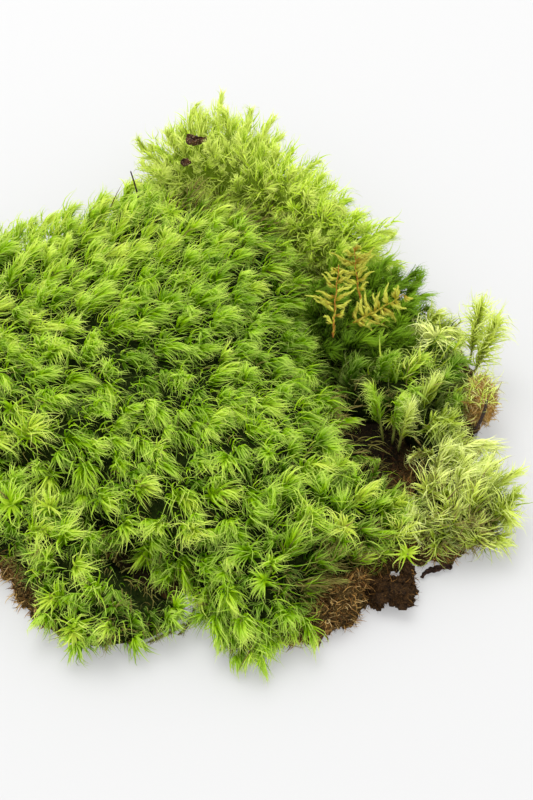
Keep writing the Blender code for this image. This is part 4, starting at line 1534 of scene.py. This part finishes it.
@dataclass(frozen=True)
class ScaleForm:
    """The small, overlapping leaves that clothe a frond's stem, branchlets or bud."""

    density: float
    length_mm: float
    width_mm: float
    opening: float


STEM_SCALES = ScaleForm(2.2, 2.0, 0.8, 0.5)
BRANCH_SCALES = ScaleForm(15.0, 2.4, 0.85, 0.46)
BUD_SCALES = ScaleForm(12.0, 2.2, 1.1, 0.25)


@dataclass
class FeatherFrond:
    """A golden feather moss frond: a red stem with leafy branchlets to both sides."""

    node: str
    foot: Triple
    tip: Triple
    facing: Triple
    arch: float
    branchlets: tuple[tuple[float, float], ...]
    seed: int
    stem_mm: float = 0.55
    stem_scales: ScaleForm = STEM_SCALES
    bud: tuple[float, float] | None = None

    def plane(self) -> tuple[Vector, Vector, Vector, Vector, float]:
        """Return how the frond lies.

        Returns:
            Its foot, its ways along, across and outwards, and its length in millimetres.
        """
        shift = Vector(FROND_SHIFT)
        foot = (Vector(self.foot) + shift) * MM
        rise = (Vector(self.tip) + shift) * MM - foot
        along = rise.normalized()
        sideways = along.cross(Vector(self.facing)).normalized()
        return foot, along, sideways, sideways.cross(along), rise.length / MM

    def at(self, x: float, y: float) -> Vector:
        """Return the place on the arched frond at a distance across and along it.

        Args:
            x: millimetres across, to the right.
            y: millimetres along, from the foot.

        Returns:
            The point.
        """
        foot, along, sideways, outwards, length = self.plane()
        sag = self.arch * ((x / 8) ** 2 + math.sin(math.pi * min(max(y / length, 0.0), 1.0)))
        return foot + sideways * (x * MM) + along * (y * MM) - outwards * (sag * MM)

    def clothe(
        self, batch: LeafBatch, path: list[Vector], form: ScaleForm, tint: float, random: Random
    ) -> None:
        """Clothe a stem or branchlet with overlapping scale leaves.

        Args:
            batch: where the leaves go.
            path: the axis to clothe.
            form: the form of the leaves, and how many stand on each millimetre.
            tint: their mean place on the scale of colours.
            random: the source of their small differences.
        """
        points = np.array([p[:] for p in path])
        lengths = np.linalg.norm(np.diff(points, axis=0), axis=1)
        total = lengths.sum()
        travelled = np.concatenate([[0.0], np.cumsum(lengths)]) / total

        def along(shares: Array) -> Array:
            """Return the points at some shares of the path's length."""
            return np.stack([np.interp(shares, travelled, points[:, k]) for k in range(3)], axis=1)

        number = max(4, int(form.density * total / MM))
        share = (np.arange(number) + random.uniform(0, 1, number)) / number
        axis = unit(along(np.minimum(share + 0.05, 1.02)) - along(share - 0.05))
        first, second = across(axis)
        turn = (np.arange(number) * GOLDEN_ANGLE + random.normal(0, 0.3, number))[:, None]
        radial = first * np.cos(turn) + second * np.sin(turn)
        opening = form.opening * (1.2 - 0.5 * share[:, None]) + random.normal(0, 0.12, (number, 1))
        start = unit(axis * np.cos(opening) + radial * np.sin(opening))
        middle = unit(start + axis * 0.35)
        end = unit(start * 0.6 + axis * 0.8 + random.normal(0, 0.2, start.shape))
        taper = 1.0 - 0.7 * share[:, None] ** 1.3
        size = np.hstack([
            form.length_mm * MM * taper * random.uniform(0.8, 1.2, (number, 1)),
            form.width_mm * MM * taper * random.uniform(0.8, 1.15, (number, 1)),
        ])
        tints = np.clip(tint + 0.45 * (share - 0.5) + random.normal(0, 0.14, number), 0.0, 1.0)
        batch.curved(along(share), (start, middle, end), np.cross(axis, radial), size, tints)

    def build(self) -> None:
        """Build the frond's stem and leaves and let them stand for its solid."""
        random = np.random.default_rng(self.seed)
        length = self.plane()[4]
        batch = LeafBatch(BRANCH_LEAF)
        spine = [self.at(0.25 * math.sin(y * 0.9), y) for y in np.linspace(0.0, length * 0.97, 9)]
        radii = [self.stem_mm / 2 * (1 - 0.5 * k / 8) * MM for k in range(9)]
        Stem(spine, radii).build(self.node, "stem", Slot.GOLDEN_MOSS, RED_STEM)
        self.clothe(batch, spine, self.stem_scales, 0.55, random)
        for along, reach in self.branchlets:
            lift = abs(reach) * random.uniform(0.15, 0.7)
            reach = reach * random.uniform(0.75, 1.1)
            path = [
                self.at(reach * share, along + lift * share ** 1.2 + 0.4 * math.sin(share * 6 + along * 2))
                for share in np.linspace(0.02, 1.0, 7)
            ]
            self.clothe(batch, path, BRANCH_SCALES, 0.80 + random.uniform(-0.18, 0.18), random)
        if self.bud:
            x, y = self.bud
            path = [self.at(x, y), self.at(x + 0.3, y + 1.3), self.at(x + 0.4, y + 2.6)]
            self.clothe(batch, path, BUD_SCALES, -0.4, random)
        batch.pieces(self.node, "leaves", Slot.GOLDEN_MOSS, GOLD_LEAVES)


@dataclass
class FreeShoot:
    """A shoot that stands free: a bare, jointed stem below and hooked leaves above."""

    node: str
    slot: Slot
    form: LeafForm
    finish: LeafFinish
    comb: Triple
    leafy_from: float
    seed: int
    reach_mm: float = 5.0
    stem_radius_mm: float = 0.45
    rosette: float = 0.0

    def axis(self) -> list[Vector]:
        """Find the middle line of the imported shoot.

        Returns:
            Seven points from its foot to its tip.
        """
        points = mesh_points(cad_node(self.node).data)
        first = points[points[:, 2] < points[:, 2].min() + 0.8 * MM].mean(axis=0)
        last = points[points[:, 2] > points[:, 2].max() - 0.5 * MM].mean(axis=0)
        way = (last - first) / np.linalg.norm(last - first)
        along = (points - first) @ way
        cuts = np.linspace(0.0, np.linalg.norm(last - first), 7)
        middles = [first]
        for cut in cuts[1:-1]:
            near = np.abs(along - cut) < (cuts[1] * 0.6)
            middles.append(points[near].mean(axis=0) if near.any() else first + way * cut)
        return [Vector(p) for p in (*middles, last)]

    def build(self) -> None:
        """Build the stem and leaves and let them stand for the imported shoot."""
        random = np.random.default_rng(self.seed)
        axis = self.axis()
        top = axis[-1] - (axis[-1] - axis[-2]).normalized() * self.reach_mm * MM
        spine = [p for p in axis[:-1] if (p - top).dot(axis[-1] - axis[0]) < 0] + [top]
        radii = [self.stem_radius_mm * MM * (1.0 - 0.06 * k) for k in range(len(spine))]
        Stem(spine, radii).build(self.node, "stem", self.slot, GREEN_STEM)
        batch = LeafBatch()
        foot, start = spine[0], self.leafy_from
        leafy = (foot.lerp(top, start), foot.lerp(top, (1 + start) / 2), top)
        lone_shoot(leafy, self.form.tint, self.comb, self.rosette).grow(batch, self.form, random)
        lower = (foot, foot.lerp(top, 0.3), foot.lerp(top, 0.7))
        lone_shoot(lower, 0.1, old=1.0).grow(batch, STEM_FORM, random)
        batch.pieces(self.node, "leaves", self.slot, self.finish)


class Skin:
    """The bare skin of a crust, where no moss stands close, from which places are drawn."""

    def __init__(self, mesh: Mesh) -> None:
        """Find the triangles that moss doesn't cover and that don't face the ground.

        Args:
            mesh: the crust's mesh.
        """
        mesh.calc_loop_triangles()
        points = mesh_points(mesh)
        self.middle = (points.min(axis=0) + points.max(axis=0)) / 2
        self.corners = points[np.array([t.vertices[:] for t in mesh.loop_triangles])]
        self.ways, self.area = ways_and_areas(self.corners)
        for k, middle in enumerate(self.corners.mean(axis=1)):
            start = Vector(middle + self.ways[k] * 0.1 * MM)
            covered = COVER[0].ray_cast(start, Vector(self.ways[k]), COVER_REACH)[0] is not None
            if covered or self.ways[k][2] < -0.6:
                self.area[k] = 0.0

    def draw(self, density: float, quiet: float, random: Random) -> tuple[Array, Array]:
        """Return places spread evenly over the skin, and the ways outwards there.

        Args:
            density: how many places for each square millimetre.
            quiet: how many of them stay outside the busy spots.
            random: the source of the places.

        Returns:
            The points and the unit normals.
        """
        places, ways = scatter(self.corners, self.ways, self.area, density, random)
        busy = random.random(len(places)) < quiet + (1 - quiet) * spot_total(BUSY_SPOTS, places)
        return places[busy], ways[busy]


@dataclass
class EarthMass:
    """A mass of dead matter under the moss: a crumbly crust with loose fibres and crumbs."""

    node: str
    slot: Slot
    finish: EarthFinish
    seed: int
    cuts: int
    relief_mm: float
    fibres: float
    fibre_mm: tuple[float, float]
    fibre_tint: tuple[float, float]
    crumbs: float
    crumb_mm: tuple[float, float]
    quiet: float = 1.0
    moss: FurForm | None = None
    drawn_in_mm: float = 0.0

    def crust(self) -> Mesh:
        """Build the mass's solid, cut finer and roughened, its flat underside kept flat.

        Returns:
            The crust's mesh.
        """
        mesh = refined(self.node, self.cuts, smoothing=2)
        points, normals = mesh_points(mesh), mesh_normals(mesh)
        floor = min(v.co.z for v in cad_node(self.node).data.vertices)
        rough = value_noise(points, 6 * MM, self.seed) + 0.7 * value_noise(points, 2.6 * MM, self.seed + 1)
        rough = rough + 0.45 * value_noise(points, 1.3 * MM, self.seed + 2)
        moved = points + normals * ((rough * self.relief_mm - self.drawn_in_mm) * MM)[:, None]
        flat = points[:, 2] < floor + 0.3 * MM
        moved[:, 2] = np.where(flat, floor, np.maximum(moved[:, 2], floor))
        set_points(mesh, moved)
        mesh.update()
        mesh.shade_smooth()
        new_piece(self.node, "crust", mesh, self.finish)
        return mesh

    def add_fibres(self, skin: Skin, random: Random) -> None:
        """Build the loose fibres on the crust.

        Args:
            skin: the crust's bare skin.
            random: the source of their small differences.
        """
        places, normals = skin.draw(self.fibres, self.quiet, random)
        count = len(places)
        first, second = across(normals)
        turn = random.uniform(0, math.tau, (count, 1))
        lift = random.uniform(0.05, 0.8, (count, 1)) ** 1.5
        start = unit(first * np.cos(turn) + second * np.sin(turn) + normals * lift)
        middle = unit(start + random.normal(0, 0.5, start.shape) + normals * 0.1)
        end = unit(middle + random.normal(0, 0.8, start.shape) - UP * 0.25)
        size = np.hstack([
            random.uniform(*self.fibre_mm, (count, 1)) * MM,
            random.uniform(0.16, 0.38, (count, 1)) * MM,
        ])
        # Fibres in the deep hollow and the notch are darkened: painted shade.
        tint = random.uniform(*self.fibre_tint, count) * (1 - spot_total(DEEP_SHADE_SPOTS, places))
        batch = LeafBatch(FIBRE)
        batch.curved(places - normals * 0.3 * MM, (start, middle, end), np.cross(start, normals), size, tint)
        batch.pieces(self.node, "fibres", self.slot, FIBRES)

    def add_crumbs(self, skin: Skin, random: Random) -> None:
        """Build the crumbs on the crust, copies of one rough grain.

        Args:
            skin: the crust's bare skin.
            random: the source of their small differences.
        """
        places, _ = skin.draw(self.crumbs, self.quiet, random)
        bpy.ops.object.select_all(action="DESELECT")
        bpy.ops.mesh.primitive_cube_add(size=1.6)
        grain = bpy.context.object
        corners = mesh_points(grain.data)
        faces = np.array([p.vertices[:] for p in grain.data.polygons])
        bpy.data.objects.remove(grain)
        count = len(places)
        stretch = random.uniform(0.45, 1.2, (count, 1, 3))
        shaped = corners[None] * stretch * random.uniform(0.75, 1.2, (count, len(corners), 1))
        first, second = across(unit(random.normal(size=(count, 3))))
        axes = (first, second, np.cross(first, second))
        turned = sum(shaped[..., k:k + 1] * axis[:, None] for k, axis in enumerate(axes))
        turned = turned * random.uniform(*self.crumb_mm, (count, 1, 1)) * MM / 2
        points = turned + places[:, None, :]
        points[..., 2] = np.maximum(points[..., 2], LEAST_CLEARANCE)
        numbers = faces[None] + (np.arange(count) * len(corners))[:, None, None]
        mesh = bpy.data.meshes.new("crumbs")
        mesh.from_pydata(points.reshape(-1, 3).tolist(), [], numbers.reshape(-1, 4).tolist())
        mesh.update()
        new_piece(self.node, "crumbs", mesh, self.finish)

    def add_moss(self, skin: Skin, random: Random) -> None:
        """Build the pale leaves that grow out of the mass and hang over it.

        Args:
            skin: the crust's bare skin.
            random: the source of their small differences.
        """
        form = self.moss
        places, normals = skin.draw(form.density, 1.0, random)
        offset = places - skin.middle
        rise = offset[:, 2] + 0.6 * offset[:, 1] - 0.5 * offset[:, 0]
        upper = rise > random.normal(0, 1.5 * MM, len(places))
        places, normals = places[upper], normals[upper]
        count = len(places)
        rough = random.normal(0, 1.0, (3, count, 3))
        start = unit(normals * 0.6 + UP * 0.8 + rough[0] * 0.3)
        bend = unit(start * 0.6 + np.array([0.4, -0.1, 0.2]) * form.sweep + rough[1] * 0.4)
        end = unit(np.array([0.5, -0.4, -0.4]) * form.sweep + rough[2] * 0.5)
        size = form.sizes(count, 1.1, random)
        tint = np.where(random.random(count) < form.old_share, 0.12, form.tint + random.normal(0, 0.1, count))
        wave = random.normal(0, form.wave, bend.shape)
        batch = LeafBatch()
        batch.curved(places, (start, bend, end), np.cross(start, unit(rough[0])), size, tint, wave)
        batch.pieces(self.node, "moss", self.slot, PALE_LEAVES)

    def build(self) -> None:
        """Build the crust, fibres and crumbs and let them stand for the solid."""
        random = np.random.default_rng(self.seed)
        skin = Skin(self.crust())
        self.add_fibres(skin, random)
        if self.crumbs:
            self.add_crumbs(skin, random)
        if self.moss:
            self.add_moss(skin, random)


@dataclass
class CurledLeaf:
    """A dead leaf, dried and rolled up into a crumpled trough."""

    node: str
    seed: int
    roll: float
    thickness_mm: float = 0.28

    def build(self) -> None:
        """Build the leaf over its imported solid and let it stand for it."""
        low, high = (np.array(corner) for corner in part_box(self.node))
        bpy.ops.object.select_all(action="DESELECT")
        bpy.ops.mesh.primitive_grid_add(x_subdivisions=14, y_subdivisions=10, size=2.0)
        leaf = bpy.context.object
        points = mesh_points(leaf.data)
        along, over = points[:, 0], points[:, 1]
        breadth = 0.25 + 0.75 * np.sqrt(np.clip(1 - along ** 2 * 0.97, 0, 1))
        ragged = 1 + 0.5 * value_noise(points, 0.3, self.seed)
        angle = over * self.roll * (1 + 0.25 * value_noise(points, 1.0, self.seed + 1))
        radius = breadth * ragged
        crumple = 0.45 * value_noise(points, 0.34, self.seed + 2)
        shaped = np.stack([
            along * (0.95 + 0.1 * ragged),
            np.sin(angle) * radius,
            -np.cos(angle) * radius * 0.9 + 0.35 * along ** 2 + crumple,
        ], axis=1)
        shaped = shaped - (shaped.max(axis=0) + shaped.min(axis=0)) / 2
        shaped = shaped / (shaped.max(axis=0) - shaped.min(axis=0)) * (high - low) + (low + high) / 2
        set_points(leaf.data, shaped)
        thick = leaf.modifiers.new("thickness", "SOLIDIFY")
        thick.thickness = self.thickness_mm * MM
        thick.offset = 0.0
        smooth = leaf.modifiers.new("smooth", "SUBSURF")
        smooth.levels = smooth.render_levels = 1
        for modifier in ("thickness", "smooth"):
            bpy.ops.object.modifier_apply(modifier=modifier)
        mesh = leaf.data.copy()
        bpy.data.objects.remove(leaf)
        mesh.shade_smooth()
        new_piece(self.node, "curled", mesh, DEAD_LEAF)


@dataclass
class BarkStrip:
    """The thin, split strip of bark that sticks out of the base."""

    node: str
    seed: int

    def build(self) -> None:
        """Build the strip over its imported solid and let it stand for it."""
        mesh = refined(self.node, 5)
        points, normals = mesh_points(mesh), mesh_normals(mesh)
        drawn = points * np.array([0.25, 1.0, 1.0])
        rough = value_noise(drawn, 0.8 * MM, self.seed) + 0.5 * value_noise(drawn, 0.35 * MM, self.seed + 1)
        moved = points + normals * ((rough * 0.45 - 0.35) * MM)[:, None]
        along = points * np.array([1.0, 0.0, 0.0])
        moved[:, 1] += value_noise(along, 2.2 * MM, self.seed + 2) * 0.9 * MM
        moved[:, 2] += value_noise(along, 1.6 * MM, self.seed + 3) * 0.7 * MM
        moved[:, 2] = np.maximum(moved[:, 2], LEAST_CLEARANCE)
        set_points(mesh, moved)
        mesh.update()
        new_piece(self.node, "split", mesh, BARK)


@dataclass
class DeadStem:
    """A dead, olive moss stem lying on the ground, with old leaves pressed to it."""

    node: str
    seed: int
    radius_mm: float = 0.5

    def build(self) -> None:
        """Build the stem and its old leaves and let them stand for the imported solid."""
        points = mesh_points(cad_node(self.node).data)
        middle = points.mean(axis=0)
        _, _, axes = np.linalg.svd(points - middle, full_matrices=False)
        along = (points - middle) @ axes[0]
        cuts = np.linspace(along.min(), along.max(), 7)
        near = [np.abs(along - cut) < (cuts[1] - cuts[0]) * 0.6 for cut in cuts]
        path = [Vector(points[part].mean(axis=0)) for part in near]
        radii = [self.radius_mm * MM * (1 - 0.08 * k) for k in range(7)]
        Stem(path, radii).build(self.node, "core", Slot.DEAD_STEM, OLIVE_STEM)
        batch = LeafBatch()
        shoot = lone_shoot((path[0], path[3], path[5]), 0.12, old=1.0)
        shoot.grow(batch, LITTER_FORM, np.random.default_rng(self.seed))
        batch.pieces(self.node, "leaves", Slot.DEAD_STEM, GREEN_LEAVES)


@dataclass
class Studio:
    """A pale floor, soft light and the camera at the photograph's angle."""

    elevation: float = 52.0
    distance: float = 0.6
    lens: float = 80.0
    target: Triple = (0.0336, -0.01667, 0.020)
    floor_size: float = 6.0
    floor_glow: float = 0.28
    surround: float = 1.4
    softbox_size: float = 0.9
    softbox_power: float = 10.0
    softbox_at: Triple = (-0.15, 0.35, 1.2)
    softbox_aim: Triple = (0.0, 0.0, 0.02)

    def floor(self) -> None:
        """Add the pale floor."""
        bpy.ops.object.select_all(action="DESELECT")
        bpy.ops.mesh.primitive_plane_add(size=self.floor_size)
        floor = bpy.context.object
        floor.name = "floor"
        material = bpy.data.materials.new("studio_floor")
        material.use_nodes = True
        Graph(material.node_tree).feed(material.node_tree.nodes["Principled BSDF"], {
            "Base Color": (0.34, 0.34, 0.34, 1.0), "Emission Color": (1.0, 1.0, 1.0, 1.0),
            "Emission Strength": self.floor_glow, "Roughness": 0.9,
        })
        floor.data.materials.append(material)

    def lights(self) -> None:
        """Add the soft light all round and a large softbox above, behind the clump."""
        world = bpy.data.worlds.new("studio")
        bpy.context.scene.world = world
        world.use_nodes = True
        background = world.node_tree.nodes["Background"]
        Graph(world.node_tree).feed(background, {"Color": (1.0, 1.0, 1.0, 1.0), "Strength": self.surround})
        softbox = bpy.data.lights.new("softbox", "AREA")
        softbox.shape = "DISK"
        softbox.size = self.softbox_size
        softbox.energy = self.softbox_power
        lamp = bpy.data.objects.new("softbox", softbox)
        bpy.context.scene.collection.objects.link(lamp)
        lamp.location = self.softbox_at
        lamp.rotation_euler = (Vector(self.softbox_aim) - lamp.location).to_track_quat("-Z", "Y").to_euler()

    def camera(self) -> None:
        """Add the camera and make it the scene's own."""
        lens = bpy.data.cameras.new("camera")
        lens.lens = self.lens
        lens.sensor_width = 36.0
        camera = bpy.data.objects.new("camera", lens)
        bpy.context.scene.collection.objects.link(camera)
        tilt = math.radians(self.elevation)
        looking = Vector((0.0, math.cos(tilt), -math.sin(tilt)))
        camera.location = Vector(self.target) - looking * self.distance
        camera.rotation_euler = looking.to_track_quat("-Z", "Y").to_euler()
        bpy.context.scene.camera = camera

    def build(self) -> None:
        """Set the studio up."""
        self.floor()
        self.lights()
        self.camera()
        bpy.context.scene.view_settings.view_transform = "Standard"


GREEN_RIM = RimForm(RIM_FORM, 4.0, 0.35)
PALE_RIM = RimForm(PALE_RIM_FORM, 3.5, 0.35)
GREEN_FUR = FurForm(0.15, 9.0, 0.50, 0.72, 0.9, 0.2, 0.02)
RIDGE_FUR = FurForm(0.27, 7.4, 0.48, 0.84, 0.6, 0.3, 0.0)
PALE_FUR = FurForm(0.10, 9.0, 0.52, 0.66, 0.8, 0.3, 0.08)
FELT_MOSS = FurForm(0.6, 9.5, 0.6, 0.80, 0.8, 0.3, 0.12)
MAIN_CUSHION = MossLobe(
    "main_cushion", Slot.GREEN_MOSS, MAIN_FORM, FILLER_FORM, GREEN_LEAVES, 1.0, 21,
    claws=CLAW_FORM, rim=GREEN_RIM, fur_form=GREEN_FUR, gap_share=0.16,
)
LOBES = (
    MAIN_CUSHION,
    replace(MAIN_CUSHION, node="front_left_lobe", seed=22),
    MossLobe(
        "back_ridge", Slot.GREEN_MOSS, RIDGE_FORM, RIDGE_FILLERS, RIDGE_LEAVES, 1.0, 23,
        apex_share=0.6, apex_spread=0.6, arch_mm=1.5, thatch_finish=LIT_THATCH, rim=GREEN_RIM,
        fur_form=RIDGE_FUR, second_reach=(0.0, 0.4), second_share=0.45,
    ),
    MossLobe(
        "right_lobe", Slot.PALE_MOSS, PALE_FORM, PALE_FILLERS, PALE_LEAVES, 0.85, 24, combed_noise=0.8,
        green_at=GREEN_SPOTS, rim=PALE_RIM, fur_form=PALE_FUR, gap_share=0.6,
    ),
    MossLobe(
        "dark_moss_patch", Slot.DARK_MOSS, DARK_FORM, DARK_FILLERS, DARK_LEAVES, 1.0, 25,
        arch_mm=2.0, rim=GREEN_RIM,
    ),
)
FRONDS = (
    FeatherFrond(
        "frond_1", (57, -1, 26), (59, 18, 43), (0.1, -0.66, 0.75), 1.5,
        ((5, -3.5), (7, 4), (9, -6.5), (10.5, 5), (11.5, -9.5), (12.5, 7.5), (14, -7), (15.5, 6.5),
         (17, -6.5), (18.5, 4.5), (20, -4), (21.5, 3), (22.5, -2.2)), 31,
    ),
    FeatherFrond(
        "frond_2", (67, 14, 26.5), (64.5, 27, 42), (0.2, -0.66, 0.75), 1.5,
        ((5, 4), (6.5, -4.5), (8, 6), (9.5, -5), (11.5, 7), (13, -6), (14, -7.5), (15, 5.5),
         (16, 4.5), (17.5, -3.5), (18.5, 2.5), (7.2, -6.5), (9, 5), (10.4, -8), (12.2, 5.5), (13.6, 8)), 32,
    ),
    FeatherFrond(
        "frond_3", (64, 6, 25.5), (82, 13.5, 32), (-0.1, -0.55, 0.83), 2.5,
        ((3, 3.5), (4, 4.5), (5.5, -4.5), (6.5, 5), (8, 6.5), (9, -6), (10, -5.5), (11, 4.5), (12, 6.5),
         (13, -6), (14, -5), (15, 4), (16, 5), (17, -4), (18, -3.5), (19.5, 3), (2, 6), (4.6, 8), (1.5, -5.5),
         (4.2, -7.5), (7.2, -8)), 33, 0.4, replace(STEM_SCALES, density=7.0), (4.2, 7.2),
    ),
)
FREE_SHOOTS = (
    FreeShoot("hollow_shoot_1", Slot.GREEN_MOSS, FREE_FORM, GREEN_LEAVES, (-0.4, 0.1, 0.5), 0.35, 41),
    FreeShoot("hollow_shoot_2", Slot.GREEN_MOSS, FREE_FORM, GREEN_LEAVES, (0.4, 0.1, 0.1), 0.3, 42),
    FreeShoot("hollow_shoot_3", Slot.PALE_MOSS, FREE_FORM, PALE_LEAVES, (0.5, 0.1, 0.0), 0.3, 43),
    FreeShoot("edge_shoot_1", Slot.PALE_MOSS, TALL_FORM, PALE_LEAVES, (0.3, 0.1, 0.1), 0.2, 44),
    FreeShoot("edge_shoot_2", Slot.PALE_MOSS, TALL_FORM, PALE_LEAVES, (0.5, 0.1, -0.1), 0.2, 45),
    FreeShoot("star_shoot", Slot.PALE_MOSS, STAR_FORM, GREEN_LEAVES, (0.0, -0.2, 0.1), 0.6, 46, rosette=0.6),
)
MASSES = (
    EarthMass(
        "duff_mat", Slot.DUFF, DUFF, 51, 5, 1.5, 2.0, (1.8, 6.0), (0.1, 0.95), 0.9, (0.5, 2.2), 0.10,
    ),
    EarthMass(
        "humus_lump", Slot.SOIL, SOIL, 52, 5, 3.0, 1.6, (2.0, 5.5), (0.0, 0.6), 2.6, (0.6, 3.8),
        drawn_in_mm=1.6,
    ),
    EarthMass(
        "felt_wad", Slot.ROOTING_FELT, FELT, 53, 5, 1.4, 5.0, (1.5, 4.5), (0.64, 1.0), 0, (0.5, 1.0),
        moss=FELT_MOSS,
    ),
)
LITTER = (
    CurledLeaf("dead_leaf_1", 61, 2.3),
    CurledLeaf("dead_leaf_2", 62, 2.0),
    BarkStrip("bark_strip", 63),
    DeadStem("dead_stem_1", 64),
    DeadStem("dead_stem_2", 65),
)
NODE_FINISHES = {"needle": NEEDLE, "dark_hair": NEEDLE}
CLEAR_NODES = ("dead_leaf_1", "dead_leaf_2")


def moss_cover() -> BVHTree:
    """Gather all lobes of moss, to tell what they cover.

    Returns:
        One tree of all their faces.
    """
    points, faces = [], []
    for lobe in LOBES:
        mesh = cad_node(lobe.node).data
        start = len(points)
        points += [v.co.copy() for v in mesh.vertices]
        faces += [tuple(start + v for v in p.vertices) for p in mesh.polygons]
    return BVHTree.FromPolygons(points, faces)


def triangle_count() -> int:
    """Return how many triangles the pieces have in all."""
    meshes = [o.data for o in bpy.data.objects if o.type == "MESH" and o.name not in FRAME["nodes"]]
    return sum(len(p.vertices) - 2 for mesh in meshes for p in mesh.polygons)


def main() -> None:
    """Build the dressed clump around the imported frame."""
    FRAME.update(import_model())
    COVER.append(moss_cover())
    for part in (*LOBES, *FRONDS, *FREE_SHOOTS, *MASSES, *LITTER):
        part.build()
    for node, finish in NODE_FINISHES.items():
        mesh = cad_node(node).data
        mesh.materials.clear()
        mesh.materials.append(finish.material())
    Studio().build()
    LOG.info("%d triangles in all", triangle_count())


if __name__ == "__main__":
    main()
